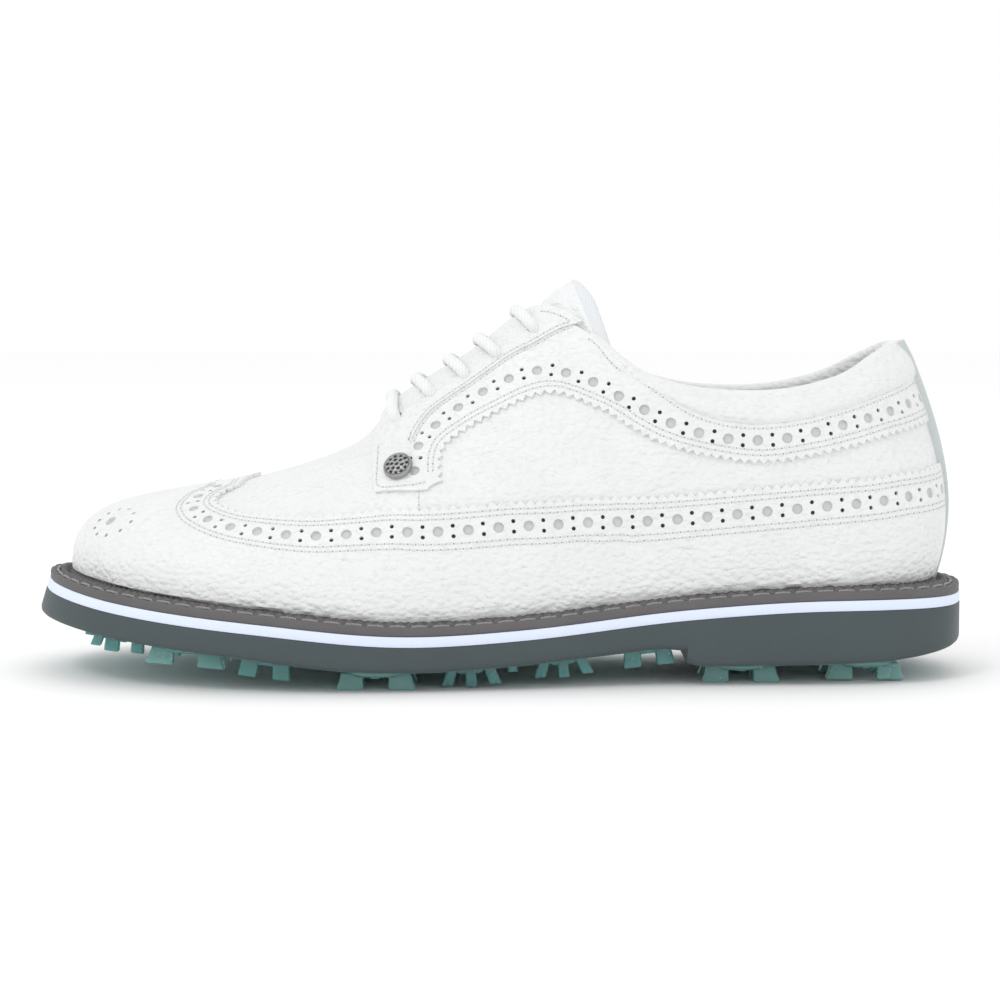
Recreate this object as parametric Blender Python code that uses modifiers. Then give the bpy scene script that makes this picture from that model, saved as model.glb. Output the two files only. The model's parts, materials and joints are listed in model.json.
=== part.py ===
"""Longwing brogue golf shoe, left foot: toe at -X, heel at +X, outer (lateral) side at -Y, +Z up.

z = 0 is the plane on which the ball and heel cleats stand.  Sizes are written in millimetres and the
objects are made in metres.
"""
import math

import bmesh
import bpy
from mathutils import Matrix, Vector

MM = 0.001
GAP = 0.3                     # clearance between touching pieces

# ---- sole -------------------------------------------------------------------------------------
SOLE_LENGTH = 305.0           # outsole length, a men's size 42
# half widths at equal steps of the outline parameter, toe tip to heel back
OUTER_EDGE = (8.0, -18.0, -38.5, -51.5, -55.0, -49.5, -41.5, -39.0, -36.5, -25.0, 0.0)
INNER_EDGE = (8.0, 30.0, 46.0, 54.8, 51.6, 39.0, 32.0, 34.5, 35.5, 25.0, 0.0)
# (x, z) of the outsole's lower face ahead of the heel, and of the welt's lower face
TREAD = ((-152.5, 19.7), (-120.0, 15.0), (-80.0, 10.8), (-50.0, 7.2), (-30.0, 6.3), (-5.0, 7.0),
         (30.0, 9.9), (62.0, 13.4))
FEATHER = ((-152.5, 31.0), (-120.0, 26.4), (-75.0, 21.8), (-30.0, 17.9), (10.0, 19.4), (60.0, 24.5),
           (100.0, 27.0), (152.5, 27.4))
HEEL_FRONT = 60.0             # x of the heel breast
HEEL_FACE = ((60.0, 6.2), (110.0, 6.9), (130.0, 8.0), (152.5, 11.2))
MIDSOLE_THICKNESS = 3.4
WELT_THICKNESS = 3.1
WELT_WIDTH = 13.0
BOARD_THICKNESS = 1.4
FILLER_THICKNESS = 1.2
SOCKLINER_THICKNESS = 4.0
FOOT_INSET = 19.0             # from the outsole's edge to the edge of the sockliner

# ---- cleats -----------------------------------------------------------------------------------
CLEAT_RADIUS = 13.0
CLEAT_LEGS = 4
CLEAT_HEIGHT = 6.0
LEG_SPREAD = 0.31                # half the angle of a leg, in radians
POST_RADIUS = 4.2
POST_HEIGHT = 4.2
SOCKET_RADIUS = 7.5
SOCKET_DEPTH = 5.2
# name: (x, y, height of the leg tips)
CLEATS = {
    "front_lateral": (-98.0, -30.0, 6.4),
    "front_medial": (-98.0, 33.0, 6.4),
    "ball_lateral": (-38.0, -36.0, 0.0),
    "ball_medial": (-38.0, 31.0, 0.0),
    "heel_front_lateral": (78.0, -21.0, 0.0),
    "heel_front_medial": (78.0, 18.0, 0.0),
    "heel_back_lateral": (118.0, -18.0, 0.5),
    "heel_back_medial": (118.0, 18.0, 0.5),
}
FLAT_FROM = -60.0             # cleats behind this x stand straight down
PLATE_THICKNESS = 0.9
PLATE_INSET = 7.5
LUG_WIDTH = 7.0
# small moulded lugs: (x, distance from the outsole's edge, length, height, legs)
LUGS = ((-127.0, 9.0, 16.0, 4.4), (-68.0, 10.0, 14.0, 5.0), (-8.0, 9.0, 16.0, 5.2),
        (22.0, 9.0, 16.0, 5.0), (47.0, 9.0, 11.0, 4.0))

# ---- upper ------------------------------------------------------------------------------------
TOE_X, HEEL_X = -140.5, 143.0          # ends of the upper where it meets the welt
SHELF = 6.0                            # width of the welt beside the upper
# one rib each: feather place, top point x, half distance across, z, pull and drop at the top,
# rise and lean at the welt
RIBS = (
    (0.000, -119.0, 0.0, 56.0, 15.0, 3.2, 13.0, 1.0),
    (0.071, -116.0, 0.0, 56.7, 17.0, 3.0, 14.0, 1.5),
    (0.134, -111.0, 0.0, 57.8, 21.0, 3.0, 15.0, 2.0),
    (0.219, -101.0, 0.0, 59.6, 26.0, 2.3, 17.0, 3.0),
    (0.299, -84.0, 0.0, 62.7, 29.0, 1.6, 21.0, 4.0),
    (0.357, -63.0, 0.0, 68.4, 29.0, 1.4, 25.0, 4.0),
    (0.400, -46.0, 0.0, 75.3, 26.0, 1.5, 28.0, 4.0),
    (0.423, -37.0, 4.0, 84.0, 22.0, 5.0, 31.0, 4.0),
    (0.446, -28.0, 7.0, 91.5, 19.0, 8.0, 33.0, 4.0),
    (0.496, -8.0, 9.0, 104.0, 17.0, 13.0, 36.0, 4.0),
    (0.545, 13.0, 10.0, 119.0, 15.0, 20.0, 38.0, 3.0),
    (0.586, 30.0, 19.0, 113.5, 9.0, 25.0, 35.0, 3.0),
    (0.609, 38.0, 25.0, 105.5, 5.0, 25.0, 30.0, 3.0),
    (0.638, 50.0, 28.5, 97.7, 4.0, 22.0, 26.0, 3.0),
    (0.684, 68.0, 30.5, 93.6, 4.0, 20.0, 24.0, 3.0),
    (0.748, 90.0, 30.0, 93.5, 4.0, 20.0, 24.0, 3.5),
    (0.819, 109.0, 25.0, 98.0, 5.0, 22.0, 24.0, 4.5),
    (0.883, 121.4, 16.0, 105.0, 7.4, 25.0, 25.0, 6.8),
    (0.940, 128.4, 7.0, 109.0, 10.0, 26.0, 26.0, 9.0),
    (1.000, 131.4, 0.0, 109.5, 11.0, 26.0, 26.0, 9.5),
)
TOE_MIDDLE_Y = 5.0                     # the toe bends this far towards the big toe
WING_TOP = 3.6                         # rib numbers where panels begin and end
THROAT = 7.0
FACING_END = 11.6
LAST = len(RIBS) - 1
# (x, z) along each seam
WING_SEAM = ((-95.0, 57.0), (-61.0, 54.2), (-28.0, 56.5), (26.0, 59.4), (65.0, 61.2), (97.0, 64.5),
             (123.0, 67.4), (150.0, 70.0))
GIMP_SEAM = ((-45.0, 65.0), (-22.0, 67.0), (-16.0, 75.5), (-3.0, 84.2), (19.0, 92.0), (41.0, 82.5),
             (68.0, 72.7), (84.0, 70.8), (117.0, 76.7), (150.0, 83.0))
FACING_SEAM = ((-45.0, 71.0), (-27.6, 74.0), (-20.4, 85.8), (-7.7, 94.4), (2.2, 102.0), (26.0, 112.0),
               (45.0, 112.0))
COLLAR_SEAM = ((20.0, 112.0), (35.0, 106.0), (52.0, 92.7), (62.5, 86.3), (77.0, 82.7), (94.0, 83.4),
               (110.0, 87.2), (127.0, 92.8), (145.0, 97.0))
LEATHER = 1.5
FACING_THICKNESS = 2.2
STIFFENER_DEPTH = 2.6                  # from the outer face to the toe puff and heel counter
SEAM_GAP = 0.014                       # half the slit between two panels, as a part of a rib
LINING_DEPTH = 4.8                     # from the outer face to the lining's outer face
COLLAR_PAD = 2.6                       # extra depth of the lining at the padded collar
LINING = 0.9
LINING_DROP = 0.14                     # how far the lining stops below the facing, as a part of a rib

# ---- tongue, lace and stud --------------------------------------------------------------------
# centre line of the tongue's outer face: x, z, half width, how far the sides drop
TONGUE = ((-43.0, 66.5, 11.0, 4.0), (-28.0, 76.0, 13.0, 6.0), (-8.0, 91.0, 14.0, 8.0),
          (10.0, 107.5, 13.5, 11.0), (18.0, 118.5, 11.5, 9.0), (25.0, 128.6, 11.0, 7.0))
TONGUE_THICKNESS = 3.8
TONGUE_HINGE = 3.35                    # where along the tongue it folds
# one eyelet: rib, distance from the facing's edge, how many ribs forward its bar crosses that edge
EYELETS = ((7.56, 11.5, -0.08), (8.34, 8.4, 0.12), (8.86, 8.0, 0.13), (9.34, 8.0, 0.14), (9.90, 7.6, 0.15))
EYELET_RADIUS = 3.2
LACE_RADIUS = 1.8
STUD_RIB, STUD_Z = 7.45, 68.0
STUD_RADIUS = 4.7


# ---- maths ------------------------------------------------------------------------------------
def curve(knots, t):
    """Smooth value through (place, value) knots at t; straight on past the ends."""
    places = [k[0] for k in knots]
    i = 0
    while i < len(knots) - 2 and t > places[i + 1]:
        i += 1

    def slope(j):
        a, b = max(j - 1, 0), min(j + 1, len(knots) - 1)
        return (knots[b][1] - knots[a][1]) / (knots[b][0] - knots[a][0])
    span = places[i + 1] - places[i]
    s = (t - places[i]) / span
    if s < 0:
        return knots[i][1] + s * span * slope(i)
    if s > 1:
        return knots[i + 1][1] + (s - 1) * span * slope(i + 1)
    a, b = knots[i][1], knots[i + 1][1]
    return ((2 * s**3 - 3 * s**2 + 1) * a + (s**3 - 2 * s**2 + s) * span * slope(i)
            + (3 * s**2 - 2 * s**3) * b + (s**3 - s**2) * span * slope(i + 1))


def row(table, t):
    """Every column of a table of rows, read smoothly at row number t."""
    return [curve(list(enumerate(column)), t) for column in zip(*table)]


def ramp(a, b, t):
    s = min(max((t - a) / (b - a), 0.0), 1.0)
    return s * s * (3 - 2 * s)


# ---- sole outline -----------------------------------------------------------------------------
def edge_point(side, s, inset=0.0):
    """Plan point of the outsole's edge; side -1 is lateral, +1 medial; s runs toe tip to heel back."""
    table = OUTER_EDGE if side < 0 else INNER_EDGE
    knots = [(i / (len(table) - 1), value) for i, value in enumerate(table)]

    def plan(q):
        return Vector((-SOLE_LENGTH / 2 * math.cos(math.pi * q), curve(knots, q)))
    step = 0.004
    tangent = plan(min(s + step, 1.0)) - plan(max(s - step, 0.0))
    if s < step or s > 1 - step:
        normal = Vector((-1.0 if s < 0.5 else 1.0, 0.0))
    else:
        normal = Vector((tangent.y, -tangent.x)).normalized() * -side
    return plan(s) - normal * inset, normal


def heel_or_tread(x):
    return curve(HEEL_FACE, x) if x > HEEL_FRONT else curve(TREAD, x)


def feather(x):
    return curve(FEATHER, x)


# ---- mesh helpers -----------------------------------------------------------------------------
def new_object(name, mesh, material):
    obj = bpy.data.objects.new(name, mesh)
    mesh.materials.append(material)
    PARTS.objects.link(obj)
    return obj


def material(name, colour, roughness, metallic=0.0):
    made = bpy.data.materials.new(name)
    made.use_nodes = True
    shader = made.node_tree.nodes["Principled BSDF"]
    shader.inputs["Base Color"].default_value = (*colour, 1.0)
    shader.inputs["Roughness"].default_value = roughness
    shader.inputs["Metallic"].default_value = metallic
    return made


def grid_mesh(rows, flip=False, closed=False):
    """An open surface through rows of points in millimetres; coinciding points are merged."""
    bm = bmesh.new()
    made = [[bm.verts.new(Vector(p) * MM) for p in line] for line in rows]
    count = len(made)
    for i in range(count if closed else count - 1):
        a, b = made[i], made[(i + 1) % count]
        for j in range(len(a) - 1):
            quad = (a[j], a[j + 1], b[j + 1], b[j])
            bm.faces.new(tuple(reversed(quad)) if flip else quad)
    return bm


def finish_mesh(name, bm, outward=False):
    bmesh.ops.remove_doubles(bm, verts=bm.verts, dist=0.02 * MM)
    bmesh.ops.dissolve_degenerate(bm, edges=bm.edges, dist=0.01 * MM)
    if outward:
        bmesh.ops.recalc_face_normals(bm, faces=bm.faces)
    mesh = bpy.data.meshes.new(name)
    bm.to_mesh(mesh)
    bm.free()
    return mesh


def solidify(obj, thickness):
    """Thicken an open surface inwards."""
    modifier = obj.modifiers.new("thickness", "SOLIDIFY")
    modifier.thickness = thickness * MM
    modifier.offset = -1.0


def boolean(obj, cutter, operation="DIFFERENCE"):
    modifier = obj.modifiers.new("cut", "BOOLEAN")
    modifier.operation = operation
    modifier.object = cutter
    return modifier


def as_guide(obj):
    """Keep a cutter out of the build."""
    GUIDES.objects.link(obj)
    obj.hide_render = True
    obj.display_type = "WIRE"
    return obj


# ---- sole parts -------------------------------------------------------------------------------
def stations(x_low, x_high, steps=34, extra=()):
    """Outline parameters between two x places, closer together at the round ends."""
    low = math.acos(min(max(-x_low * 2 / SOLE_LENGTH, -1), 1)) / math.pi
    high = math.acos(min(max(-x_high * 2 / SOLE_LENGTH, -1), 1)) / math.pi
    values = [low + (high - low) * i / steps for i in range(steps + 1)]
    values += [math.acos(-x * 2 / SOLE_LENGTH) / math.pi for x in extra]
    return sorted(values)


def slab(name, colour, inset, low, high, x_low=-SOLE_LENGTH / 2, x_high=SOLE_LENGTH / 2, steps=34,
         extra=()):
    """A closed layer of the sole between two height functions of x."""
    places = stations(x_low, x_high, steps, extra)
    rings = []
    for s in places:
        left, _ = edge_point(-1, s, inset)
        right, _ = edge_point(1, s, inset)
        x = (left.x + right.x) / 2
        y_left, y_right = left.y, right.y
        if y_right - y_left < 1.0:
            middle = (y_left + y_right) / 2
            y_left, y_right = middle - 0.5, middle + 0.5
        rings.append([(x, y_left, low(x)), (x, y_left, high(x)), (x, y_right, high(x)),
                      (x, y_right, low(x))])
    bm = bmesh.new()
    made = [[bm.verts.new(Vector(p) * MM) for p in ring] for ring in rings]
    for a, b in zip(made, made[1:]):
        for j in range(4):
            k = (j + 1) % 4
            bm.faces.new((a[j], a[k], b[k], b[j]))
    bm.faces.new(tuple(reversed(made[0])))
    bm.faces.new(tuple(made[-1]))
    return new_object(name, finish_mesh(name, bm, outward=True), colour)


def make_welt():
    """The ring that the upper is stitched to, round the whole shoe."""
    places = [i / 40 for i in range(41)]
    walk = [(-1, s) for s in places] + [(1, s) for s in reversed(places[1:-1])]
    bm = bmesh.new()
    rings = []
    for side, s in walk:
        outer, _ = edge_point(side, s, 0.6)
        inner, _ = edge_point(side, s, WELT_WIDTH)
        points = []
        for plan, rise in ((outer, 0.0), (outer, WELT_THICKNESS), (inner, WELT_THICKNESS), (inner, 0.0)):
            points.append((plan.x, plan.y, feather(plan.x) + GAP / 2 + rise))
        rings.append([bm.verts.new(Vector(p) * MM) for p in points])
    for i, a in enumerate(rings):
        b = rings[(i + 1) % len(rings)]
        for j in range(4):
            k = (j + 1) % 4
            bm.faces.new((a[j], a[k], b[k], b[j]))
    new_object("welt", finish_mesh("welt", bm, outward=True), WELT_GREY)


# ---- cleats -----------------------------------------------------------------------------------
def sole_normal(x):
    """The direction that points down out of the tread at x."""
    if x > FLAT_FROM:
        return Vector((0, 0, -1))
    slope = (curve(TREAD, x + 2) - curve(TREAD, x - 2)) / 4
    return Vector((slope, 0, -1)).normalized()


def cleat_frame(x, y, tip):
    """A frame whose -Z leaves the sole and whose origin is on the tread under the cleat."""
    down = sole_normal(x)
    turn = Vector((0, 0, -1)).rotation_difference(down).to_matrix().to_4x4()
    seat = Vector((x, y, tip)) - down * CLEAT_HEIGHT
    return Matrix.Translation(seat * MM) @ turn


def cleat_mesh():
    """A round plate with legs round its rim and a post above it; z = 0 is the plate's upper face."""
    quarter = 2 * math.pi / CLEAT_LEGS
    rings = []
    for i in range(CLEAT_LEGS * 4):
        step = i % 4
        leg = step in (1, 2)
        turn = (LEG_SPREAD if leg else LEG_SPREAD + 0.09) * (1 if step > 1 else -1)
        angle = quarter * (i // 4 + 0.5) + turn
        flare = CLEAT_RADIUS if leg else CLEAT_RADIUS - 1.2
        tip = -CLEAT_HEIGHT if leg else -2.2
        profile = ((0, POST_HEIGHT), (POST_RADIUS, POST_HEIGHT), (POST_RADIUS, 0.0), (12.0, 0.0),
                   (flare, tip), (flare - 3.2, tip), (8.2, -2.2), (0, -1.8))
        rings.append([(r * math.cos(angle), r * math.sin(angle), z) for r, z in profile])
    bm = grid_mesh(rings, closed=True)
    return finish_mesh("cleat", bm, outward=True)


def turned_mesh(name, profile, sectors):
    """A body turned about Z from (radius, z) points that start and end on the axis or close up."""
    rings = []
    for i in range(sectors):
        angle = 2 * math.pi * i / sectors
        rings.append([(r * math.cos(angle), r * math.sin(angle), z) for r, z in profile])
    return finish_mesh(name, grid_mesh(rings, closed=True), outward=True)


def make_cleats():
    """Each cleat twists in its own socket, which is set in a pocket of the outsole."""
    shared = cleat_mesh()
    shared.materials.append(TEAL)
    room = POST_RADIUS + GAP
    roof = POST_HEIGHT + GAP
    socket = turned_mesh("socket", ((0, roof), (room, roof), (room, GAP), (SOCKET_RADIUS, GAP),
                                    (SOCKET_RADIUS, SOCKET_DEPTH), (0, SOCKET_DEPTH)), 12)
    socket.materials.append(DARK_PLASTIC)
    pockets = []
    for name, (x, y, tip) in CLEATS.items():
        frame = cleat_frame(x, y, tip)
        cleat = bpy.data.objects.new("cleat_" + name, shared)
        holder = bpy.data.objects.new("receptacle_" + name, socket)
        for obj in (cleat, holder):
            PARTS.objects.link(obj)
            obj.matrix_world = frame
        pockets.append(frame)
    return pockets


def pocket_cutter(name, frames, radius, low, high):
    bm = bmesh.new()
    for frame in frames:
        bmesh.ops.create_cone(bm, cap_ends=True, segments=16, radius1=radius * MM, radius2=radius * MM,
                              depth=(high - low) * MM,
                              matrix=frame @ Matrix.Translation((0, 0, (low + high) / 2 * MM)))
    mesh = bpy.data.meshes.new(name)
    bm.to_mesh(mesh)
    bm.free()
    return as_guide(bpy.data.objects.new(name, mesh))


def lug_guide(name, side_spots):
    """Short tapered blocks under the plate, all in one guide."""
    bm = bmesh.new()
    for x, y, length, height in side_spots:
        for v in bmesh.ops.create_cube(bm, size=1.0)["verts"]:
            tip = v.co.z < 0
            taper = 0.72 if tip else 1.0
            place = x + v.co.x * length * taper
            v.co = Vector((place, y + v.co.y * LUG_WIDTH * taper,
                           curve(TREAD, place) - GAP - PLATE_THICKNESS / 2 - height * tip)) * MM
    mesh = bpy.data.meshes.new(name)
    bm.to_mesh(mesh)
    bm.free()
    return as_guide(bpy.data.objects.new(name, mesh))


def make_sole():
    half = SOLE_LENGTH / 2
    frames = make_cleats()
    outsole = slab("outsole", SLATE, 0.0, heel_or_tread,
                   lambda x: feather(x) - MIDSOLE_THICKNESS - GAP, extra=(HEEL_FRONT, HEEL_FRONT + 0.6))
    boolean(outsole, pocket_cutter("socket_pockets", frames, SOCKET_RADIUS + GAP, -4.0,
                                   SOCKET_DEPTH + GAP))
    slab("midsole", MIDSOLE_BLUE, 0.4, lambda x: feather(x) - MIDSOLE_THICKNESS,
         lambda x: feather(x) - GAP / 2)
    make_welt()
    inside = WELT_WIDTH + 4 * GAP
    slab("forefoot_filler", CORK, inside, lambda x: feather(x) + GAP,
         lambda x: feather(x) + GAP + FILLER_THICKNESS, -half + inside, -8.0, 20)
    slab("insole_board", BOARD, inside, lambda x: feather(x) + 2 * GAP + FILLER_THICKNESS,
         lambda x: feather(x) + 2 * GAP + FILLER_THICKNESS + BOARD_THICKNESS, -half, half, 30)
    slab("sockliner", LINING_GREY, FOOT_INSET,
         lambda x: feather(x) + WELT_THICKNESS + 2 * GAP,
         lambda x: feather(x) + WELT_THICKNESS + 2 * GAP + SOCKLINER_THICKNESS, -half, half, 30)
    make_shank()
    make_plates(frames)


def make_shank():
    """A thin ribbed steel strip that stiffens the waist, under the insole board."""
    rings = []
    bm = bmesh.new()
    for i in range(13):
        x = -4.0 + 96.0 * i / 12
        width = 7.0 + 1.5 * math.sin(math.pi * i / 12)
        low = feather(x) + GAP
        high = low + FILLER_THICKNESS
        points = ((x, -width, low), (x, -width, high), (x, width, high), (x, width, low))
        rings.append([bm.verts.new(Vector(p) * MM) for p in points])
    for a, b in zip(rings, rings[1:]):
        for j in range(4):
            k = (j + 1) % 4
            bm.faces.new((a[j], a[k], b[k], b[j]))
    bm.faces.new(rings[0])
    bm.faces.new(rings[-1])
    new_object("shank", finish_mesh("shank", bm, outward=True), STEEL)


def make_plates(frames):
    """Thin moulded skins under the forefoot and the heel, with the small lugs."""
    def under(x):
        return heel_or_tread(x) - GAP

    def skin(x):
        return heel_or_tread(x) - GAP - PLATE_THICKNESS
    front = slab("forefoot_traction_plate", TEAL, PLATE_INSET, skin, under, -SOLE_LENGTH / 2, 54.0, 26)
    heel = slab("heel_traction_plate", TEAL, PLATE_INSET, skin, under, 62.0, SOLE_LENGTH / 2, 14)
    spots = []
    for x, inset, length, height in LUGS:
        s = math.acos(-x * 2 / SOLE_LENGTH) / math.pi
        for side in (-1, 1):
            plan, _ = edge_point(side, s, inset)
            spots.append((x, plan.y, length, height))
    boolean(front, lug_guide("front_lugs", spots), "UNION")
    clear = CLEAT_RADIUS - 1.0 + 4 * GAP
    boolean(front, pocket_cutter("front_cleat_room", frames[:4], clear, -9.0, 3.0))
    boolean(heel, pocket_cutter("heel_cleat_room", frames[4:], clear, -9.0, 3.0))


# ---- upper surface ----------------------------------------------------------------------------
def middle_y(x):
    """The middle line of the upper bends towards the big toe."""
    return TOE_MIDDLE_Y * (1.0 - ramp(-120.0, -20.0, x))


def feather_point(side, f):
    """Where the upper meets the welt."""
    plan, normal = edge_point(side, f)
    round_off = min(1.0, 2.6 * math.sin(math.pi * f))
    x = (TOE_X + HEEL_X) / 2 - (HEEL_X - TOE_X) / 2 * math.cos(math.pi * f)
    return Vector((x, plan.y + side * -SHELF * round_off, feather(x) + WELT_THICKNESS + 3 * GAP)), normal


def rib_curve(side, u):
    f, x, half, z, pull, drop, rise, lean = row(RIBS, u)
    f = min(max(f, 0.0), 1.0)
    foot, normal = feather_point(side, f)
    if u <= 0.0 or u >= LAST:
        normal = Vector((-1.0 if u <= 0 else 1.0, 0.0))
    top = Vector((x, middle_y(x) + side * max(half, 0.0), z))
    out = Vector((normal.x, normal.y, 0.0))
    return foot, foot + out * lean + Vector((0, 0, rise)), top + out * pull - Vector((0, 0, drop)), top


def surface(side, u, v):
    a, b, c, d = rib_curve(side, u)
    w = 1 - v
    return a * w**3 + b * (3 * w * w * v) + c * (3 * w * v * v) + d * v**3


def outward(side, u, v):
    """Unit normal of the upper's outer face."""
    du, dv = 0.02, 0.01
    if u < 2.0:
        v = min(v, 0.985)              # the toe's ribs run into its middle line
    along = surface(side, min(u + du, LAST), v) - surface(side, max(u - du, 0), v)
    up = surface(side, u, min(v + dv, 1)) - surface(side, u, max(v - dv, 0))
    normal = along.cross(up) * -side
    if normal.length < 1e-9:
        normal = Vector((0, 0, 1))
    normal.normalize()
    if u <= 0.001 or u >= LAST - 0.001 or (v > 0.999 and u < THROAT - 1):
        normal.y = 0.0
        normal.normalize()
    return normal


def seam(side, u, knots):
    """Where the rib crosses a seam given by its height along the shoe."""
    low, high = 0.0, 1.0
    for _ in range(24):
        v = (low + high) / 2
        point = surface(side, u, v)
        if point.z < curve(knots, point.x):
            low = v
        else:
            high = v
    return (low + high) / 2


def wing_edge(side, u):
    base = seam(side, u, WING_SEAM)
    return base + (1.0 - base) * (1.0 - ramp(WING_TOP, WING_TOP + 1.2, u))


def facing_edge(side, u):
    return min(seam(side, u, FACING_SEAM), 0.97)


def collar_edge(side, u):
    return min(seam(side, u, COLLAR_SEAM), 0.97)


def quarter_edge(side, u):
    """Upper limit of the quarter: under the facing, then under the collar panel."""
    blend = ramp(FACING_END - 0.2, FACING_END + 0.2, u)
    return facing_edge(side, u) * (1 - blend) + collar_edge(side, u) * blend


def gimp_edge(side, u):
    return seam(side, u, GIMP_SEAM)


def lining_depth(u, v):
    return LINING_DEPTH + COLLAR_PAD * ramp(12.0, 13.2, u) * ramp(0.62, 0.86, v)


def panel(name, colour, sides, u_low, u_high, v_low, v_high, steps, rows, thickness, depth=None,
          trim=0.0):
    """A shell panel of the upper; v limits are functions of (side, rib)."""
    whole = bmesh.new()
    for side in sides:
        lines = []
        for i in range(steps + 1):
            u = u_low + (u_high - u_low) * i / steps
            low, high = v_low(side, u) + trim, v_high(side, u)
            if high < 0.9999:
                high -= trim
            line = []
            for j in range(rows + 1):
                v = low + (high - low) * j / rows
                sink = depth(u, v) if depth else 0.0
                line.append(surface(side, u, v) - outward(side, u, v) * sink)
            lines.append(line)
        part = grid_mesh(lines, flip=side < 0)
        mesh = bpy.data.meshes.new("strip")
        part.to_mesh(mesh)
        part.free()
        whole.from_mesh(mesh)
        bpy.data.meshes.remove(mesh)
    obj = new_object(name, finish_mesh(name, whole), colour)
    solidify(obj, thickness)
    return obj


def bottom(side, u):
    return 0.0


def top(side, u):
    return 1.0


def make_upper():
    both, lateral, medial = (-1, 1), (-1,), (1,)
    panel("wing_cap", WHITE_LEATHER, both, 0.0, LAST, bottom, wing_edge, 38, 5, LEATHER)
    panel("vamp", WHITE_LEATHER, both, WING_TOP + 0.35, THROAT - 0.1,
          lambda s, u: wing_edge(s, u) + 3 * SEAM_GAP, top, 10, 5, LEATHER)
    for sides, word in ((lateral, "lateral"), (medial, "medial")):
        panel("side_panel_" + word, WHITE_LEATHER, sides, THROAT, LAST - 0.12, wing_edge, gimp_edge,
              26, 2, LEATHER, trim=SEAM_GAP)
        quarter = panel("quarter_" + word, WHITE_LEATHER, sides, THROAT, LAST - 0.12, gimp_edge,
                        quarter_edge, 24, 2, LEATHER, trim=SEAM_GAP)
        facing = panel("facing_" + word, WHITE_LEATHER, sides, THROAT, FACING_END, facing_edge, top,
                       12, 2, FACING_THICKNESS, trim=SEAM_GAP)
        panel("collar_" + word, WHITE_LEATHER, sides, FACING_END + 0.12, LAST - 0.12, collar_edge, top,
              15, 2, LEATHER, trim=SEAM_GAP)
        panel("collar_foam_" + word, FOAM, sides, FACING_END + 1.4, LAST - 0.4,
              lambda s, u: 0.72, lambda s, u: 0.95, 11, 2, 1.6,
              depth=lambda u, v: STIFFENER_DEPTH)
        punch_eyelets(facing, sides[0])
        if word == "lateral":
            make_stud(quarter)
    panel("lining", LINING_GREY, both, 0.0, LAST, lambda s, u: 0.01, lining_top, 38, 5, LINING,
          depth=lining_depth)
    panel("toe_puff", BOARD, both, 0.0, 3.4, lambda s, u: 0.05, top, 10, 5, 1.0,
          depth=lambda u, v: STIFFENER_DEPTH)
    panel("heel_counter", BOARD, both, 15.0, LAST, lambda s, u: 0.02, lambda s, u: 0.5, 10, 2, 1.2,
          depth=lambda u, v: STIFFENER_DEPTH)
    panel("back_strip", STRIP_GREY, both, LAST - 0.55, LAST, lambda s, u: 0.03, lambda s, u: 0.985,
          2, 10, 1.1, depth=lambda u, v: -1.45)


def lining_top(side, u):
    """The lining stops under the facing and otherwise reaches the top line."""
    if u <= THROAT - 0.4:
        return 1.0
    blend = ramp(FACING_END, FACING_END + 0.6, u)
    return (facing_edge(side, u) - LINING_DROP) * (1 - blend) + 0.985 * blend


# ---- eyelets, lace and stud -------------------------------------------------------------------
def eyelet_place(side, number):
    u, inset, _ = EYELETS[number]
    edge = surface(side, u, 1.0)
    low, high = 0.3, 1.0
    for _ in range(20):
        v = (low + high) / 2
        if (surface(side, u, v) - edge).length > inset:
            low = v
        else:
            high = v
    return surface(side, u, v), outward(side, u, v)


def drill(name, spots, radius, length):
    bm = bmesh.new()
    for point, direction in spots:
        turn = Vector((0, 0, 1)).rotation_difference(direction).to_matrix().to_4x4()
        bmesh.ops.create_cone(bm, cap_ends=True, segments=10, radius1=radius * MM, radius2=radius * MM,
                              depth=length * MM, matrix=Matrix.Translation(point * MM) @ turn)
    mesh = bpy.data.meshes.new(name)
    bm.to_mesh(mesh)
    bm.free()
    return as_guide(bpy.data.objects.new(name, mesh))


def punch_eyelets(facing, side):
    spots = [eyelet_place(side, i) for i in range(len(EYELETS))]
    boolean(facing, drill(facing.name + "_eyelets", spots, EYELET_RADIUS, 12.0))


def make_stud(quarter):
    """A domed metal stud at the facing's front lower corner, its post set through the quarter."""
    v = seam(-1, STUD_RIB, ((-60.0, STUD_Z), (0.0, STUD_Z)))
    point, normal = surface(-1, STUD_RIB, v), outward(-1, STUD_RIB, v)
    boolean(quarter, drill("stud_hole", [(point, normal)], 1.5, 8.0))
    profile = ((0, 2.6), (2.6, 2.3), (4.2, 1.5), (STUD_RADIUS, 0.8), (STUD_RADIUS, 0.4), (1.1, 0.4),
               (1.1, -2.2), (0, -2.2))
    obj = new_object("facing_stud", turned_mesh("facing_stud", profile, 20), STEEL)
    turn = Vector((0, 0, 1)).rotation_difference(normal).to_matrix().to_4x4()
    obj.matrix_world = Matrix.Translation(point * MM) @ turn


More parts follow.
